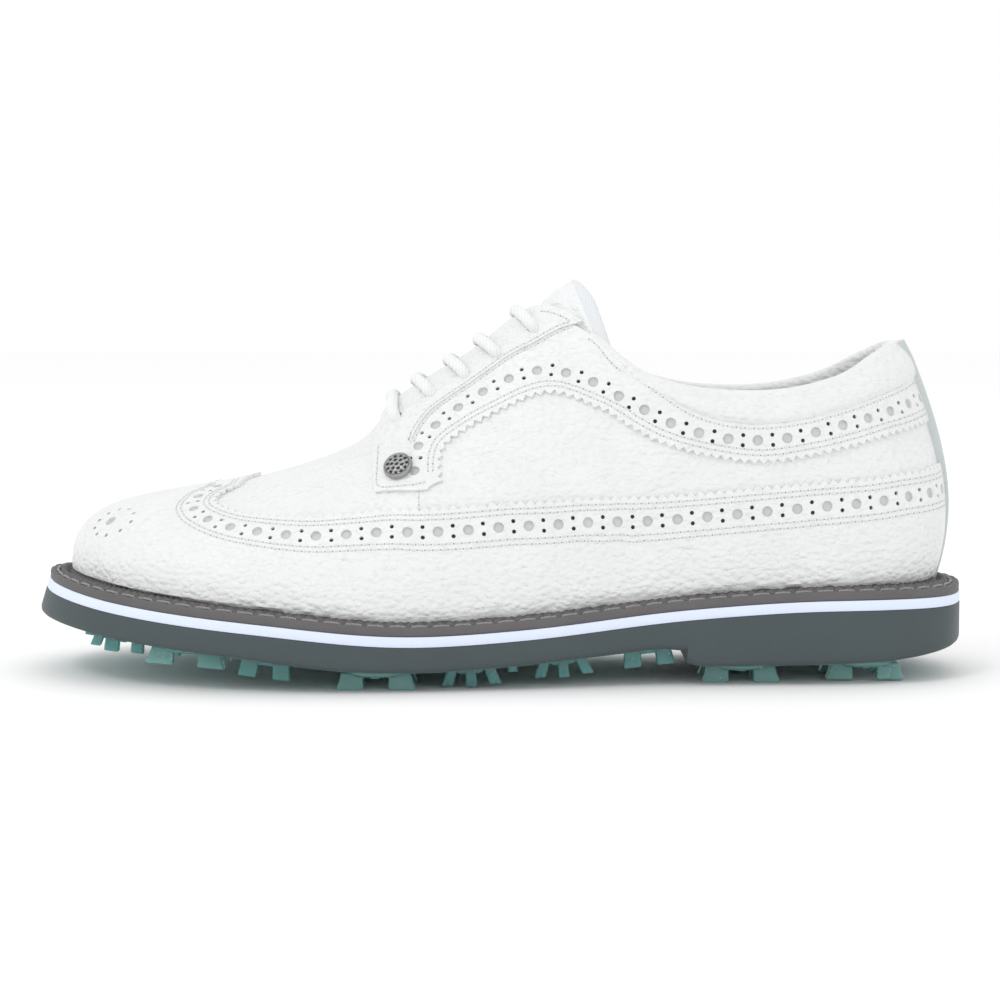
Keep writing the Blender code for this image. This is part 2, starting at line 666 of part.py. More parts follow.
def lace_route():
    """Straight bars over the facings, joined by runs under them; both ends are tucked inside."""
    over, under = LACE_RADIUS + 1.3, FACING_THICKNESS + LACE_RADIUS + 0.5

    def hole(side, i):
        point, normal = eyelet_place(side, i)
        return point + normal * over, point - normal * under

    def bar(i, side):
        top_a, under_a = hole(side, i)
        top_b, under_b = hole(-side, i)
        rib = EYELETS[i][0] - EYELETS[i][2]
        edge_a = surface(side, rib, 1.0) + outward(side, rib, 1.0) * over
        edge_b = surface(-side, rib, 1.0) + outward(-side, rib, 1.0) * over
        middle = (edge_a + edge_b) / 2 + Vector((-0.9, 0, -0.4))
        return [under_a, top_a, edge_a, middle, edge_b, top_b, under_b]

    first = bar(0, -1)
    up_right = bar(2, 1) + bar(4, -1)
    up_left = bar(1, -1) + bar(3, 1)
    return list(reversed(up_left)) + first + up_right


def smooth_path(points, spacing):
    """Even points along a smooth curve through the route."""
    places = [0.0]
    for a, b in zip(points, points[1:]):
        places.append(places[-1] + max((b - a).length, 0.5))
    count = int(places[-1] / spacing)
    made = []
    for i in range(count + 1):
        t = places[-1] * i / count
        made.append(Vector([curve([(p, q[k]) for p, q in zip(places, points)], t) for k in range(3)]))
    return made


def make_lace():
    path = smooth_path(lace_route(), 4.2)
    data = bpy.data.curves.new("shoelace", "CURVE")
    data.dimensions = "3D"
    data.bevel_depth = LACE_RADIUS * MM
    data.bevel_resolution = 1
    data.use_fill_caps = True
    spline = data.splines.new("POLY")
    spline.points.add(len(path) - 1)
    for point, place in zip(spline.points, path):
        point.co = (*(place * MM), 1.0)
    obj = bpy.data.objects.new("shoelace", data)
    data.materials.append(WHITE_LACE)
    PARTS.objects.link(obj)


# ---- tongue -----------------------------------------------------------------------------------
def tongue_point(t, across, depth):
    """A point of the tongue: t along it, across from -1 to 1, depth below its outer face."""
    x, z, half, fall = row(TONGUE, t)
    ahead, behind = row(TONGUE, t + 0.05), row(TONGUE, t - 0.05)
    along = Vector((ahead[0] - behind[0], 0, ahead[1] - behind[1])).normalized()
    normal = Vector((-along.z, 0, along.x))
    bend = across * across
    lean = Vector((0, across, 0)) * (fall / half) * 0.9
    centre = Vector((x, middle_y(x) + across * half, z)) - normal * (fall * bend)
    return centre - (normal + lean).normalized() * depth


def make_tongue_part(name, t_low, t_high, steps):
    rings = []
    bm = bmesh.new()
    columns = [-1 + 2 * j / 8 for j in range(9)]
    for i in range(steps + 1):
        t = t_low + (t_high - t_low) * i / steps
        ring = [tongue_point(t, a, 0.0) for a in columns]
        ring += [tongue_point(t, a, TONGUE_THICKNESS) for a in reversed(columns)]
        rings.append([bm.verts.new(p * MM) for p in ring])
    for a, b in zip(rings, rings[1:]):
        for j in range(len(a)):
            k = (j + 1) % len(a)
            bm.faces.new((a[j], a[k], b[k], b[j]))
    for ring in (rings[0], rings[-1]):
        for j in range(8):
            bm.faces.new((ring[j], ring[j + 1], ring[16 - j], ring[17 - j]))
    return new_object(name, finish_mesh(name, bm, outward=True), TONGUE_WHITE)


def make_tongue():
    make_tongue_part("tongue_base", 0.0, TONGUE_HINGE, 9)
    make_tongue_part("tongue_top", TONGUE_HINGE + 0.04, 5.0, 4)


# ---- build ------------------------------------------------------------------------------------
for leftover in list(bpy.data.objects):
    bpy.data.objects.remove(leftover, do_unlink=True)
PARTS = bpy.data.collections.new("golf_shoe")
GUIDES = bpy.data.collections.new("guides")
bpy.context.scene.collection.children.link(PARTS)
bpy.context.scene.collection.children.link(GUIDES)

WHITE_LEATHER = material("white_leather", (0.86, 0.87, 0.87), 0.45)
TONGUE_WHITE = material("tongue_leather", (0.84, 0.86, 0.87), 0.5)
LINING_GREY = material("lining", (0.62, 0.66, 0.7), 0.9)
STRIP_GREY = material("back_strip", (0.68, 0.72, 0.75), 0.5)
WHITE_LACE = material("lace", (0.88, 0.88, 0.88), 0.85)
WELT_GREY = material("welt", (0.19, 0.18, 0.19), 0.7)
MIDSOLE_BLUE = material("midsole", (0.74, 0.8, 0.92), 0.55)
SLATE = material("outsole", (0.06, 0.085, 0.093), 0.55)
TEAL = material("cleat_plastic", (0.1, 0.3, 0.28), 0.3)
DARK_PLASTIC = material("receptacle", (0.05, 0.05, 0.055), 0.5)
STEEL = material("steel", (0.55, 0.55, 0.56), 0.3, 1.0)
CORK = material("cork", (0.4, 0.25, 0.13), 0.9)
BOARD = material("board", (0.45, 0.38, 0.3), 0.9)
FOAM = material("foam", (0.7, 0.7, 0.6), 0.95)

make_sole()
make_upper()
make_tongue()
make_lace()
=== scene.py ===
"""Looks of the longwing golf shoe: leather panels, brogueing, stitches, lace, tongue, welt and cleats.

Lengths are in millimetres until a mesh is made.  The upper is one surface, read by rib number u (toe
tip to heel back) and height v (welt to top line), and every panel is cut from it.
"""
import json
import math

import bmesh
import bpy
import numpy as np
from mathutils import Matrix, Vector
from mathutils.geometry import delaunay_2d_cdt


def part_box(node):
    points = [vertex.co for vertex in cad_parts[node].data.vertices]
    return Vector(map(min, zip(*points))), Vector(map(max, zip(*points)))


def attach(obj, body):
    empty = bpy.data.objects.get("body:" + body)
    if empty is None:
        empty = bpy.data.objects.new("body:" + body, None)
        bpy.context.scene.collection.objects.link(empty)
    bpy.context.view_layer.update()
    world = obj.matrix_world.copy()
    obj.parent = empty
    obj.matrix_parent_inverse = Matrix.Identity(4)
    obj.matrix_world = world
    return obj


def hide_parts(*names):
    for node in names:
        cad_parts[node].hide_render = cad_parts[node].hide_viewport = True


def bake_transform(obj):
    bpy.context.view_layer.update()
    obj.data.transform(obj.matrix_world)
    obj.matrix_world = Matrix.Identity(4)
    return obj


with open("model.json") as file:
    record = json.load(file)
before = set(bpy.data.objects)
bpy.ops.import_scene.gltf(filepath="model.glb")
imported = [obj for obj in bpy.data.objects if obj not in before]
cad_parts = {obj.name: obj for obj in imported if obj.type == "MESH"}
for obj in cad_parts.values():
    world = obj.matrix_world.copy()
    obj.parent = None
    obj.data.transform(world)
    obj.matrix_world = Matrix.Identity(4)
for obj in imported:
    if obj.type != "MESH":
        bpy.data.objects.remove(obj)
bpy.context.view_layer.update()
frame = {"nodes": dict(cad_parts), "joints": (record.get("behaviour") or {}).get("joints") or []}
MM = 0.001
ROOT = "shoe"
NODES = frame["nodes"]

# ---- the design's numbers, as in the CAD ------------------------------------------------------
SOLE_LENGTH = 305.0
OUTER_EDGE = (8.0, -18.0, -38.5, -51.5, -55.0, -49.5, -41.5, -39.0, -36.5, -25.0, 0.0)
INNER_EDGE = (8.0, 30.0, 46.0, 54.8, 51.6, 39.0, 32.0, 34.5, 35.5, 25.0, 0.0)
TREAD = ((-152.5, 19.7), (-120.0, 15.0), (-80.0, 10.8), (-50.0, 7.2), (-30.0, 6.3), (-5.0, 7.0),
         (30.0, 9.9), (62.0, 13.4))
FEATHER = ((-152.5, 31.0), (-120.0, 26.4), (-75.0, 21.8), (-30.0, 17.9), (10.0, 19.4), (60.0, 24.5),
           (100.0, 27.0), (152.5, 27.4))
HEEL_FRONT = 60.0
HEEL_FACE = ((60.0, 6.2), (110.0, 6.9), (130.0, 8.0), (152.5, 11.2))
MIDSOLE_THICKNESS = 3.4
WELT_THICKNESS = 3.1
TOE_X, HEEL_X = -140.5, 143.0
SHELF = 6.0
TOE_MIDDLE_Y = 5.0
RIBS = np.array((
    (0.000, -119.0, 0.0, 56.0, 15.0, 3.2, 13.0, 1.0),
    (0.071, -116.0, 0.0, 56.7, 17.0, 3.0, 14.0, 1.5),
    (0.134, -111.0, 0.0, 57.8, 21.0, 3.0, 15.0, 2.0),
    (0.219, -101.0, 0.0, 59.6, 26.0, 2.3, 17.0, 3.0),
    (0.299, -84.0, 0.0, 62.7, 29.0, 1.6, 21.0, 4.0),
    (0.357, -63.0, 0.0, 68.4, 29.0, 1.4, 25.0, 4.0),
    (0.400, -46.0, 0.0, 75.3, 26.0, 1.5, 28.0, 4.0),
    (0.423, -37.0, 4.0, 84.0, 22.0, 5.0, 31.0, 4.0),
    (0.446, -28.0, 7.0, 91.5, 19.0, 8.0, 33.0, 4.0),
    (0.496, -8.0, 9.0, 104.0, 17.0, 13.0, 36.0, 4.0),
    (0.545, 13.0, 10.0, 119.0, 15.0, 20.0, 38.0, 3.0),
    (0.586, 30.0, 19.0, 113.5, 9.0, 25.0, 35.0, 3.0),
    (0.609, 38.0, 25.0, 105.5, 5.0, 25.0, 30.0, 3.0),
    (0.638, 50.0, 28.5, 97.7, 4.0, 22.0, 26.0, 3.0),
    (0.684, 68.0, 30.5, 93.6, 4.0, 20.0, 24.0, 3.0),
    (0.748, 90.0, 30.0, 93.5, 4.0, 20.0, 24.0, 3.5),
    (0.819, 109.0, 25.0, 98.0, 5.0, 22.0, 24.0, 4.5),
    (0.883, 121.4, 16.0, 105.0, 7.4, 25.0, 25.0, 6.8),
    (0.940, 128.4, 7.0, 109.0, 10.0, 26.0, 26.0, 9.0),
    (1.000, 131.4, 0.0, 109.5, 11.0, 26.0, 26.0, 9.5),
))
LAST = len(RIBS) - 1.0
THROAT = 7.0
# one eyelet: rib, distance from the facing's edge, how many ribs forward its bar crosses that edge
EYELETS = ((7.56, 11.5, -0.08), (8.34, 8.4, 0.12), (8.86, 8.0, 0.13), (9.34, 8.0, 0.14), (9.90, 7.6, 0.15))
LACE_RADIUS = 1.8
WELT_WIDTH = 13.0
FOOT_INSET = 19.0
PLATE_INSET = 7.5
POST_RADIUS, POST_HEIGHT = 4.2, 4.2
CLEAT_HEIGHT = 6.0
CLEAT_OPENING = 12.9             # radius of the plate's hole round a cleat
PLATE_DROP, PLATE_THICKNESS = 0.95, 0.9
LARGE_HOLE_SIDES, SMALL_HOLE_SIDES = 14, 8


# ---- maths ------------------------------------------------------------------------------------
def hermite(places, values, t):
    """Smooth values through knots, straight on past both ends; t is an array."""
    places, values = np.asarray(places, float), np.asarray(values, float)
    slopes = np.empty_like(values)
    slopes[1:-1] = (values[2:] - values[:-2]) / (places[2:] - places[:-2])
    slopes[0] = (values[1] - values[0]) / (places[1] - places[0])
    slopes[-1] = (values[-1] - values[-2]) / (places[-1] - places[-2])
    t = np.asarray(t, float)
    i = np.clip(np.searchsorted(places, t, side="left") - 1, 0, len(places) - 2)
    span = places[i + 1] - places[i]
    s = (t - places[i]) / span
    c = np.clip(s, 0, 1)
    inside = ((2 * c**3 - 3 * c**2 + 1) * values[i] + (c**3 - 2 * c**2 + c) * span * slopes[i]
              + (3 * c**2 - 2 * c**3) * values[i + 1] + (c**3 - c**2) * span * slopes[i + 1])
    before = np.where(s < 0, s * span * slopes[i], 0)
    after = np.where(s > 1, (s - 1) * span * slopes[i + 1], 0)
    return inside + before + after


def curve(knots, t):
    return hermite([k[0] for k in knots], [k[1] for k in knots], t)


def ramp(a, b, t):
    s = np.clip((np.asarray(t, float) - a) / (b - a), 0, 1)
    return s * s * (3 - 2 * s)


def unit(vectors):
    return vectors / np.maximum(np.linalg.norm(vectors, axis=-1, keepdims=True), 1e-9)


# ---- sole outline and upper surface -----------------------------------------------------------
def plan(side, s):
    table = OUTER_EDGE if side < 0 else INNER_EDGE
    y = hermite(np.linspace(0, 1, len(table)), table, s)
    return np.stack([-SOLE_LENGTH / 2 * np.cos(np.pi * np.asarray(s, float)), y], -1)


def edge(side, s, inset=0.0):
    """Plan points of the outsole's edge moved inwards, and their outward normals."""
    s = np.asarray(s, float)
    step = 0.004
    tangent = plan(side, np.minimum(s + step, 1)) - plan(side, np.maximum(s - step, 0))
    normal = unit(np.stack([tangent[..., 1], -tangent[..., 0]], -1)) * -side
    normal = np.where((s < step)[..., None], [-1.0, 0.0], normal)
    normal = np.where((s > 1 - step)[..., None], [1.0, 0.0], normal)
    return plan(side, s) - normal * np.asarray(inset)[..., None], normal


def middle_y(x):
    return TOE_MIDDLE_Y * (1.0 - ramp(-120.0, -20.0, x))


def surface(side, u, v):
    """Points of the upper's outer face."""
    u, v = np.broadcast_arrays(np.asarray(u, float), np.asarray(v, float))
    steps = np.arange(len(RIBS))
    f, x, half, z, pull, drop, rise, lean = (hermite(steps, RIBS[:, k], u) for k in range(8))
    f = np.clip(f, 0, 1)
    outline, normal = edge(side, f)
    normal = np.where((u <= 0)[..., None], [-1.0, 0.0], normal)
    normal = np.where((u >= LAST)[..., None], [1.0, 0.0], normal)
    foot_x = (TOE_X + HEEL_X) / 2 - (HEEL_X - TOE_X) / 2 * np.cos(np.pi * f)
    foot_y = outline[..., 1] - side * SHELF * np.minimum(1.0, 2.6 * np.sin(np.pi * f))
    foot = np.stack([foot_x, foot_y, curve(FEATHER, foot_x) + WELT_THICKNESS + 0.9], -1)
    top = np.stack([x, middle_y(x) + side * np.maximum(half, 0), z], -1)
    out = np.concatenate([normal, np.zeros_like(normal[..., :1])], -1)
    up = np.array([0.0, 0.0, 1.0])
    b = foot + out * lean[..., None] + up * rise[..., None]
    c = top + out * pull[..., None] - up * drop[..., None]
    v = v[..., None]
    w = 1 - v
    return foot * w**3 + b * (3 * w * w * v) + c * (3 * w * v * v) + top * v**3


def outward(side, u, v):
    """Unit normals of the upper's outer face."""
    u, v = np.broadcast_arrays(np.asarray(u, float), np.asarray(v, float))
    on_middle = (u <= 0.001) | (u >= LAST - 0.001) | ((v > 0.999) & (u < THROAT - 1))
    v = np.where(u < 2.0, np.minimum(v, 0.985), v)
    along = surface(side, np.minimum(u + 0.02, LAST), v) - surface(side, np.maximum(u - 0.02, 0), v)
    rise = surface(side, u, np.minimum(v + 0.01, 1)) - surface(side, u, np.maximum(v - 0.01, 0))
    normal = unit(np.cross(along, rise) * -side)
    normal[..., 1] = np.where(on_middle, 0.0, normal[..., 1])
    return unit(normal)


def find(side, points):
    """(u, v) of points given by x and z on one side of the upper."""
    points = np.asarray(points, float)
    gu, gv = np.meshgrid(np.linspace(0, LAST, 153), np.linspace(0, 1, 81), indexing="ij")
    grid = surface(side, gu, gv)[..., (0, 2)].reshape(-1, 2)
    nearest = np.argmin(((grid[None] - points[:, None])**2).sum(-1), 1)
    u, v = gu.ravel()[nearest].copy(), gv.ravel()[nearest].copy()
    for _ in range(12):
        here = surface(side, u, v)[:, (0, 2)]
        du = (surface(side, u + 0.01, v)[:, (0, 2)] - here) / 0.01
        dv = (surface(side, u, v + 0.004)[:, (0, 2)] - here) / 0.004
        miss = points - here
        det = du[:, 0] * dv[:, 1] - du[:, 1] * dv[:, 0]
        det = np.where(np.abs(det) < 1e-3, 1e9, det)
        u = np.clip(u + np.clip((miss[:, 0] * dv[:, 1] - miss[:, 1] * dv[:, 0]) / det, -0.3, 0.3), 0, LAST)
        v = np.clip(v + np.clip((du[:, 0] * miss[:, 1] - du[:, 1] * miss[:, 0]) / det, -0.1, 0.1), 0, 1)
    return np.stack([u, v], -1)


def lengths(points):
    return np.concatenate([[0], np.cumsum(np.linalg.norm(np.diff(points, axis=0), axis=1))])


def trace(side, keys, step=0.6):
    """A smooth line through (u, v) keys, with points evenly spaced on the upper."""
    keys = np.asarray(keys, float)
    knots = lengths(surface(side, keys[:, 0], keys[:, 1]))
    t = np.linspace(0, knots[-1], int(knots[-1] / 0.5) + 2)
    fine = np.stack([hermite(knots, keys[:, 0], t), hermite(knots, keys[:, 1], t)], -1)
    fine = np.clip(fine, [0, -0.05], [LAST, 1])
    run = lengths(surface(side, fine[:, 0], fine[:, 1]))
    even = np.linspace(0, run[-1], max(int(round(run[-1] / step)), 2) + 1)
    return np.stack([np.interp(even, run, fine[:, 0]), np.interp(even, run, fine[:, 1])], -1)


def seam_line(side, xz, step=0.6):
    return trace(side, find(side, xz), step)


def frame_on(side, uv):
    """Point, unit tangent, up-pointing cross direction and normal along a line on the upper."""
    p = surface(side, uv[:, 0], uv[:, 1])
    tangent = unit(np.gradient(p, axis=0))
    normal = outward(side, uv[:, 0], uv[:, 1])
    across = unit(np.cross(normal, tangent)) * -side
    return p, tangent, across, normal


def shift(side, uv, moves):
    """Move (u, v) points by 3-D vectors that lie along the surface."""
    u, v = uv[:, 0], uv[:, 1]
    pu = (surface(side, np.minimum(u + 0.01, LAST), v) - surface(side, u - 0.01, v)) / 0.02
    pv = (surface(side, u, v + 0.005) - surface(side, u, v - 0.005)) / 0.01
    a, b, c = (pu * pu).sum(-1), (pu * pv).sum(-1), (pv * pv).sum(-1)
    d, e = (pu * moves).sum(-1), (pv * moves).sum(-1)
    det = np.maximum(a * c - b * b, 1e-3)
    return np.clip(uv + np.stack([(c * d - b * e) / det, (a * e - b * d) / det], -1), [0, -0.05], [LAST, 1])


def offset(side, uv, distance):
    """The line moved across itself, upwards where it runs towards the heel."""
    _, _, across, _ = frame_on(side, uv)
    return shift(side, uv, across * np.asarray(distance).reshape(-1, 1) * np.ones((len(uv), 1)))


def zigzag(side, uv, pitch=3.1, depth=1.5):
    """A gimped edge: teeth along the line."""
    run = lengths(surface(side, uv[:, 0], uv[:, 1]))
    count = int(run[-1] / pitch * 2)
    s = np.linspace(0, run[-1], count + 1)
    line = np.stack([np.interp(s, run, uv[:, 0]), np.interp(s, run, uv[:, 1])], -1)
    return offset(side, line, np.where(np.arange(count + 1) % 2, depth / 2, -depth / 2))


def at_steps(side, uv, pitch, start=0.0):
    """Points spaced evenly along a line, with their local frames."""
    run = lengths(surface(side, uv[:, 0], uv[:, 1]))
    s = np.arange(start, run[-1], pitch)
    line = np.stack([np.interp(s, run, uv[:, 0]), np.interp(s, run, uv[:, 1])], -1)
    _, tangent, across, _ = frame_on(side, uv)
    tangent = unit(np.stack([np.interp(s, run, tangent[:, k]) for k in range(3)], -1))
    across = unit(np.stack([np.interp(s, run, across[:, k]) for k in range(3)], -1))
    return line, tangent, across


def disc(side, centre, radius, tangent, across, sides):
    angles = 2 * np.pi * np.arange(sides) / sides
    moves = radius * (np.cos(angles)[:, None] * tangent + np.sin(angles)[:, None] * across)
    return shift(side, np.repeat(centre[None], sides, 0), moves)


def brogue(side, uv, pitch=9.6, big=1.7, small=0.7, spread=2.1, start=3.0):
    """A row of large holes with a pair of small ones between neighbours."""
    holes = []
    line, tangent, across = at_steps(side, uv, pitch / 2, start)
    for i, spot in enumerate(line):
        if i % 2 == 0:
            holes.append(disc(side, spot, big, tangent[i], across[i], LARGE_HOLE_SIDES))
        else:
            for sign in (-1, 1):
                moved = shift(side, spot[None], (across[i] * spread * sign)[None])[0]
                holes.append(disc(side, moved, small, tangent[i], across[i], SMALL_HOLE_SIDES))
    return holes


# ---- flat chart of the upper, for cutting panels ----------------------------------------------
CHART_U = np.linspace(0, LAST, 381)
CHART_RUN = lengths(surface(-1, CHART_U, np.full_like(CHART_U, 0.45)))
CHART_HEIGHT = 72.0


def to_chart(uv):
    return np.stack([np.interp(uv[:, 0], CHART_U, CHART_RUN), uv[:, 1] * CHART_HEIGHT], -1)


def from_chart(xy):
    return np.stack([np.interp(xy[:, 0], CHART_RUN, CHART_U), xy[:, 1] / CHART_HEIGHT], -1)


def cut(outline, holes, spacing):
    """Triangles of a panel: outline and holes are closed loops of (u, v)."""
    flat, tris = triangulate(to_chart(outline), [to_chart(h) for h in holes], spacing)
    return from_chart(flat), tris


def triangulate(loop, hole_loops, spacing):
    """Triangles of a flat shape with openings; all loops are closed."""
    border = np.concatenate([loop] + hole_loops)
    low, high = loop.min(0), loop.max(0)
    gx = np.arange(low[0] + spacing / 2, high[0], spacing)
    gy = np.arange(low[1] + spacing / 2, high[1], spacing * 0.87)
    mx, my = np.meshgrid(gx, gy)
    mx = mx + (np.arange(len(gy))[:, None] % 2) * spacing / 2
    inner = np.stack([mx.ravel(), my.ravel()], -1)
    keep = np.ones(len(inner), bool)
    for chunk in np.array_split(border, max(len(border) // 200, 1)):
        keep &= ((inner[:, None] - chunk[None])**2).sum(-1).min(1) > (0.55 * spacing)**2
    for h in hole_loops:
        centre = h.mean(0)
        keep &= ((inner - centre)**2).sum(-1) > np.linalg.norm(h - centre, axis=1).max()**2
    inner = inner[keep]
    points = [Vector(p) for p in np.concatenate([border, inner])]
    edges, faces, start, owner = [], [], len(loop), {}
    outer = list(range(len(loop)))
    for number, h in enumerate(hole_loops):
        ring = range(start, start + len(h))
        edges += [(a, a + 1 if a + 1 < start + len(h) else start) for a in ring]
        owner.update({a: number for a in ring})
        start += len(h)
    faces.append(outer)
    verts, _, tris, came_from, _, _ = delaunay_2d_cdt(points, edges, faces, 1, 1e-4)
    tag = [next((owner[i] for i in ids if i in owner), -1 - k) for k, ids in enumerate(came_from)]
    tris = [t for t in tris if not (tag[t[0]] == tag[t[1]] == tag[t[2]])]
    return np.array([tuple(v) for v in verts]), tris


def finish_piece(name, bm, material, body=ROOT, sharp=40.0, place=True):
    """Make the object from a bmesh in millimetres, place it and give it its look."""
    bmesh.ops.scale(bm, vec=(MM, MM, MM), verts=bm.verts)
    mesh = bpy.data.meshes.new(name)
    bm.to_mesh(mesh)
    bm.free()
    obj = bpy.data.objects.new(name, mesh)
    bpy.context.scene.collection.objects.link(obj)
    mesh.materials.append(material)
    mesh.shade_smooth()
    mesh.set_sharp_from_angle(angle=math.radians(sharp))
    if place:
        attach(obj, body)
    return obj


def from_arrays(parts):
    """One bmesh from several (points, faces) or (points, faces, material indices) parts."""
    bm = bmesh.new()
    for points, faces, *tags in parts:
        verts = [bm.verts.new(p) for p in points]
        for number, f in enumerate(faces):
            face = bm.faces.new([verts[i] for i in f])
            if tags:
                face.material_index = tags[0][number]
    return bm


# holes that get a plug of painted shade behind them
HOLE_PLUGS_PAINTED_SHADE = []


def leather(name, sides, material, spacing=2.6, thickness=1.1):
    """A panel of leather; sides is a list of (side, outline, holes, level function)."""
    bm = bmesh.new()
    for side, outline, holes, level in sides:
        # each hole gets a plug of painted shade 0.95 below the panel's face
        HOLE_PLUGS_PAINTED_SHADE.extend((side, hole, float(level(side, hole[:1])[0]) - 0.95) for hole in holes)
        uv, tris = cut(outline, holes, spacing)
        lift = level(side, uv)[:, None]
        points = surface(side, uv[:, 0], uv[:, 1]) + outward(side, uv[:, 0], uv[:, 1]) * lift
        verts = [bm.verts.new(p) for p in points]
        for t in tris:
            ids = t if side > 0 else list(reversed(t))
            bm.faces.new([verts[i] for i in ids])
    bmesh.ops.remove_doubles(bm, verts=bm.verts, dist=0.02)
    bmesh.ops.dissolve_degenerate(bm, edges=bm.edges, dist=0.005)
    faces = list(bm.faces)
    if outward_sign(bm) < 0:
        bmesh.ops.reverse_faces(bm, faces=faces)
    thicken(bm, thickness)
    return finish_piece(name, bm, material)


def outward_sign(bm):
    """Whether faces point away from the shoe's middle line; sums over the low part of the panel."""
    total = 0.0
    for f in bm.faces:
        total += f.normal.y * (1 if f.calc_center_median().y > 2.0 else -1) * f.calc_area()
    return total


def thicken(bm, thickness):
    """Give an open sheet a back and a rim, without changing its front."""
    bm.normal_update()
    front = list(bm.faces)
    rim = [e for e in bm.edges if len(e.link_faces) == 1]
    back = {v: bm.verts.new(v.co - v.normal * thickness) for v in list(bm.verts)}
    for f in front:
        bm.faces.new([back[v] for v in reversed(f.verts)])
    for e in rim:
        loop = e.link_faces[0].loops
        for corner in loop:
            if corner.edge == e:
                a, b = corner.vert, corner.link_loop_next.vert
                bm.faces.new((b, a, back[a], back[b]))
                break


# ---- stitches ---------------------------------------------------------------------------------
# places of the needle holes, where discs of painted shade go
NEEDLE_HOLES = []


def thread(points, normals, length, gap, radius, sides=5, sink=0.12, pierced=True):
    """Stitches along a 3-D line: short round-ended lengths that dip into the leather."""
    run = lengths(points)
    starts = np.arange(gap / 2, run[-1] - length, length + gap)
    parts = []
    angles = 2 * np.pi * np.arange(sides) / sides

    def at(places, values):
        return np.stack([np.interp(places, run, values[:, k]) for k in range(3)], -1)

    if pierced:
        spots = starts - gap / 2
        NEEDLE_HOLES.append((at(spots, points), unit(at(spots, normals)), gap))
    for s in starts:
        t = s + length * np.array([0.0, 0.14, 0.5, 0.86, 1.0])
        centre = at(t, points)
        normal = unit(at(t, normals))
        cross = unit(np.cross(normal, unit(centre[-1:] - centre[:1])))
        dip = -sink - radius
        lift = np.array([dip, 0.1 * radius, 0.35 * radius, 0.1 * radius, dip])
        size = radius * np.array([0.5, 0.95, 1.0, 0.95, 0.5])
        centre = centre + normal * lift[:, None]
        rings = (centre[:, None] + (np.cos(angles)[None, :, None] * cross[:, None]
                 + np.sin(angles)[None, :, None] * normal[:, None]) * size[:, None, None])
        faces = []
        for i in range(4):
            for j in range(sides):
                k = (j + 1) % sides
                faces.append((i * sides + j, (i + 1) * sides + j, (i + 1) * sides + k, i * sides + k))
        faces.append(tuple(range(sides)))
        faces.append(tuple(reversed(range(4 * sides, 5 * sides))))
        parts.append((rings.reshape(-1, 3), faces))
    return parts


def stitch_on(side, uv, level, length=1.7, gap=0.7, radius=0.24):
    p = surface(side, uv[:, 0], uv[:, 1])
    normal = outward(side, uv[:, 0], uv[:, 1])
    return thread(p + normal * level, normal, length, gap, radius)


# ---- materials --------------------------------------------------------------------------------
def shader(name, colour, roughness, **inputs):
    """A Principled material with texture coordinates at hand; returns (material, nodes, links)."""
    made = bpy.data.materials.new(name)
    made.use_nodes = True
    tree = made.node_tree
    principled = tree.nodes["Principled BSDF"]
    principled.inputs["Base Color"].default_value = (*colour, 1.0)
    principled.inputs["Roughness"].default_value = roughness
    for key, value in inputs.items():
        principled.inputs[key.replace("_", " ")].default_value = value
    return made, tree.nodes, tree.links


def texture(nodes, links, kind, scale, **settings):
    """A texture node on object coordinates; scale counts features per metre."""
    coords = nodes.get("coords") or nodes.new("ShaderNodeTexCoord")
    coords.name = "coords"
    node = nodes.new("ShaderNodeTex" + kind)
    node.inputs["Scale"].default_value = scale
    for key, value in settings.items():
        if hasattr(node, key):
            setattr(node, key, value)
        else:
            node.inputs[key.replace("_", " ").title()].default_value = value
    links.new(coords.outputs["Object"], node.inputs["Vector"])
    return node


def add_bump(nodes, links, height, strength, distance, under=None):
    bump = nodes.new("ShaderNodeBump")
    bump.inputs["Strength"].default_value = strength
    bump.inputs["Distance"].default_value = distance
    links.new(height, bump.inputs["Height"])
    if under:
        links.new(under.outputs["Normal"], bump.inputs["Normal"])
    links.new(bump.outputs["Normal"], nodes["Principled BSDF"].inputs["Normal"])
    return bump


def tint(nodes, links, factor, low, high, target="Base Color"):
    """Blend two colours by a texture's value."""
    blend = nodes.new("ShaderNodeMix")
    blend.data_type = "RGBA"
    links.new(factor, blend.inputs["Factor"])
    blend.inputs["A"].default_value = (*low, 1.0)
    blend.inputs["B"].default_value = (*high, 1.0)
    links.new(blend.outputs["Result"], nodes["Principled BSDF"].inputs[target])


def vary_roughness(nodes, links, value, low, high):
    spread = nodes.new("ShaderNodeMapRange")
    spread.inputs["To Min"].default_value = low
    spread.inputs["To Max"].default_value = high
    links.new(value, spread.inputs["Value"])
    links.new(spread.outputs["Result"], nodes["Principled BSDF"].inputs["Roughness"])


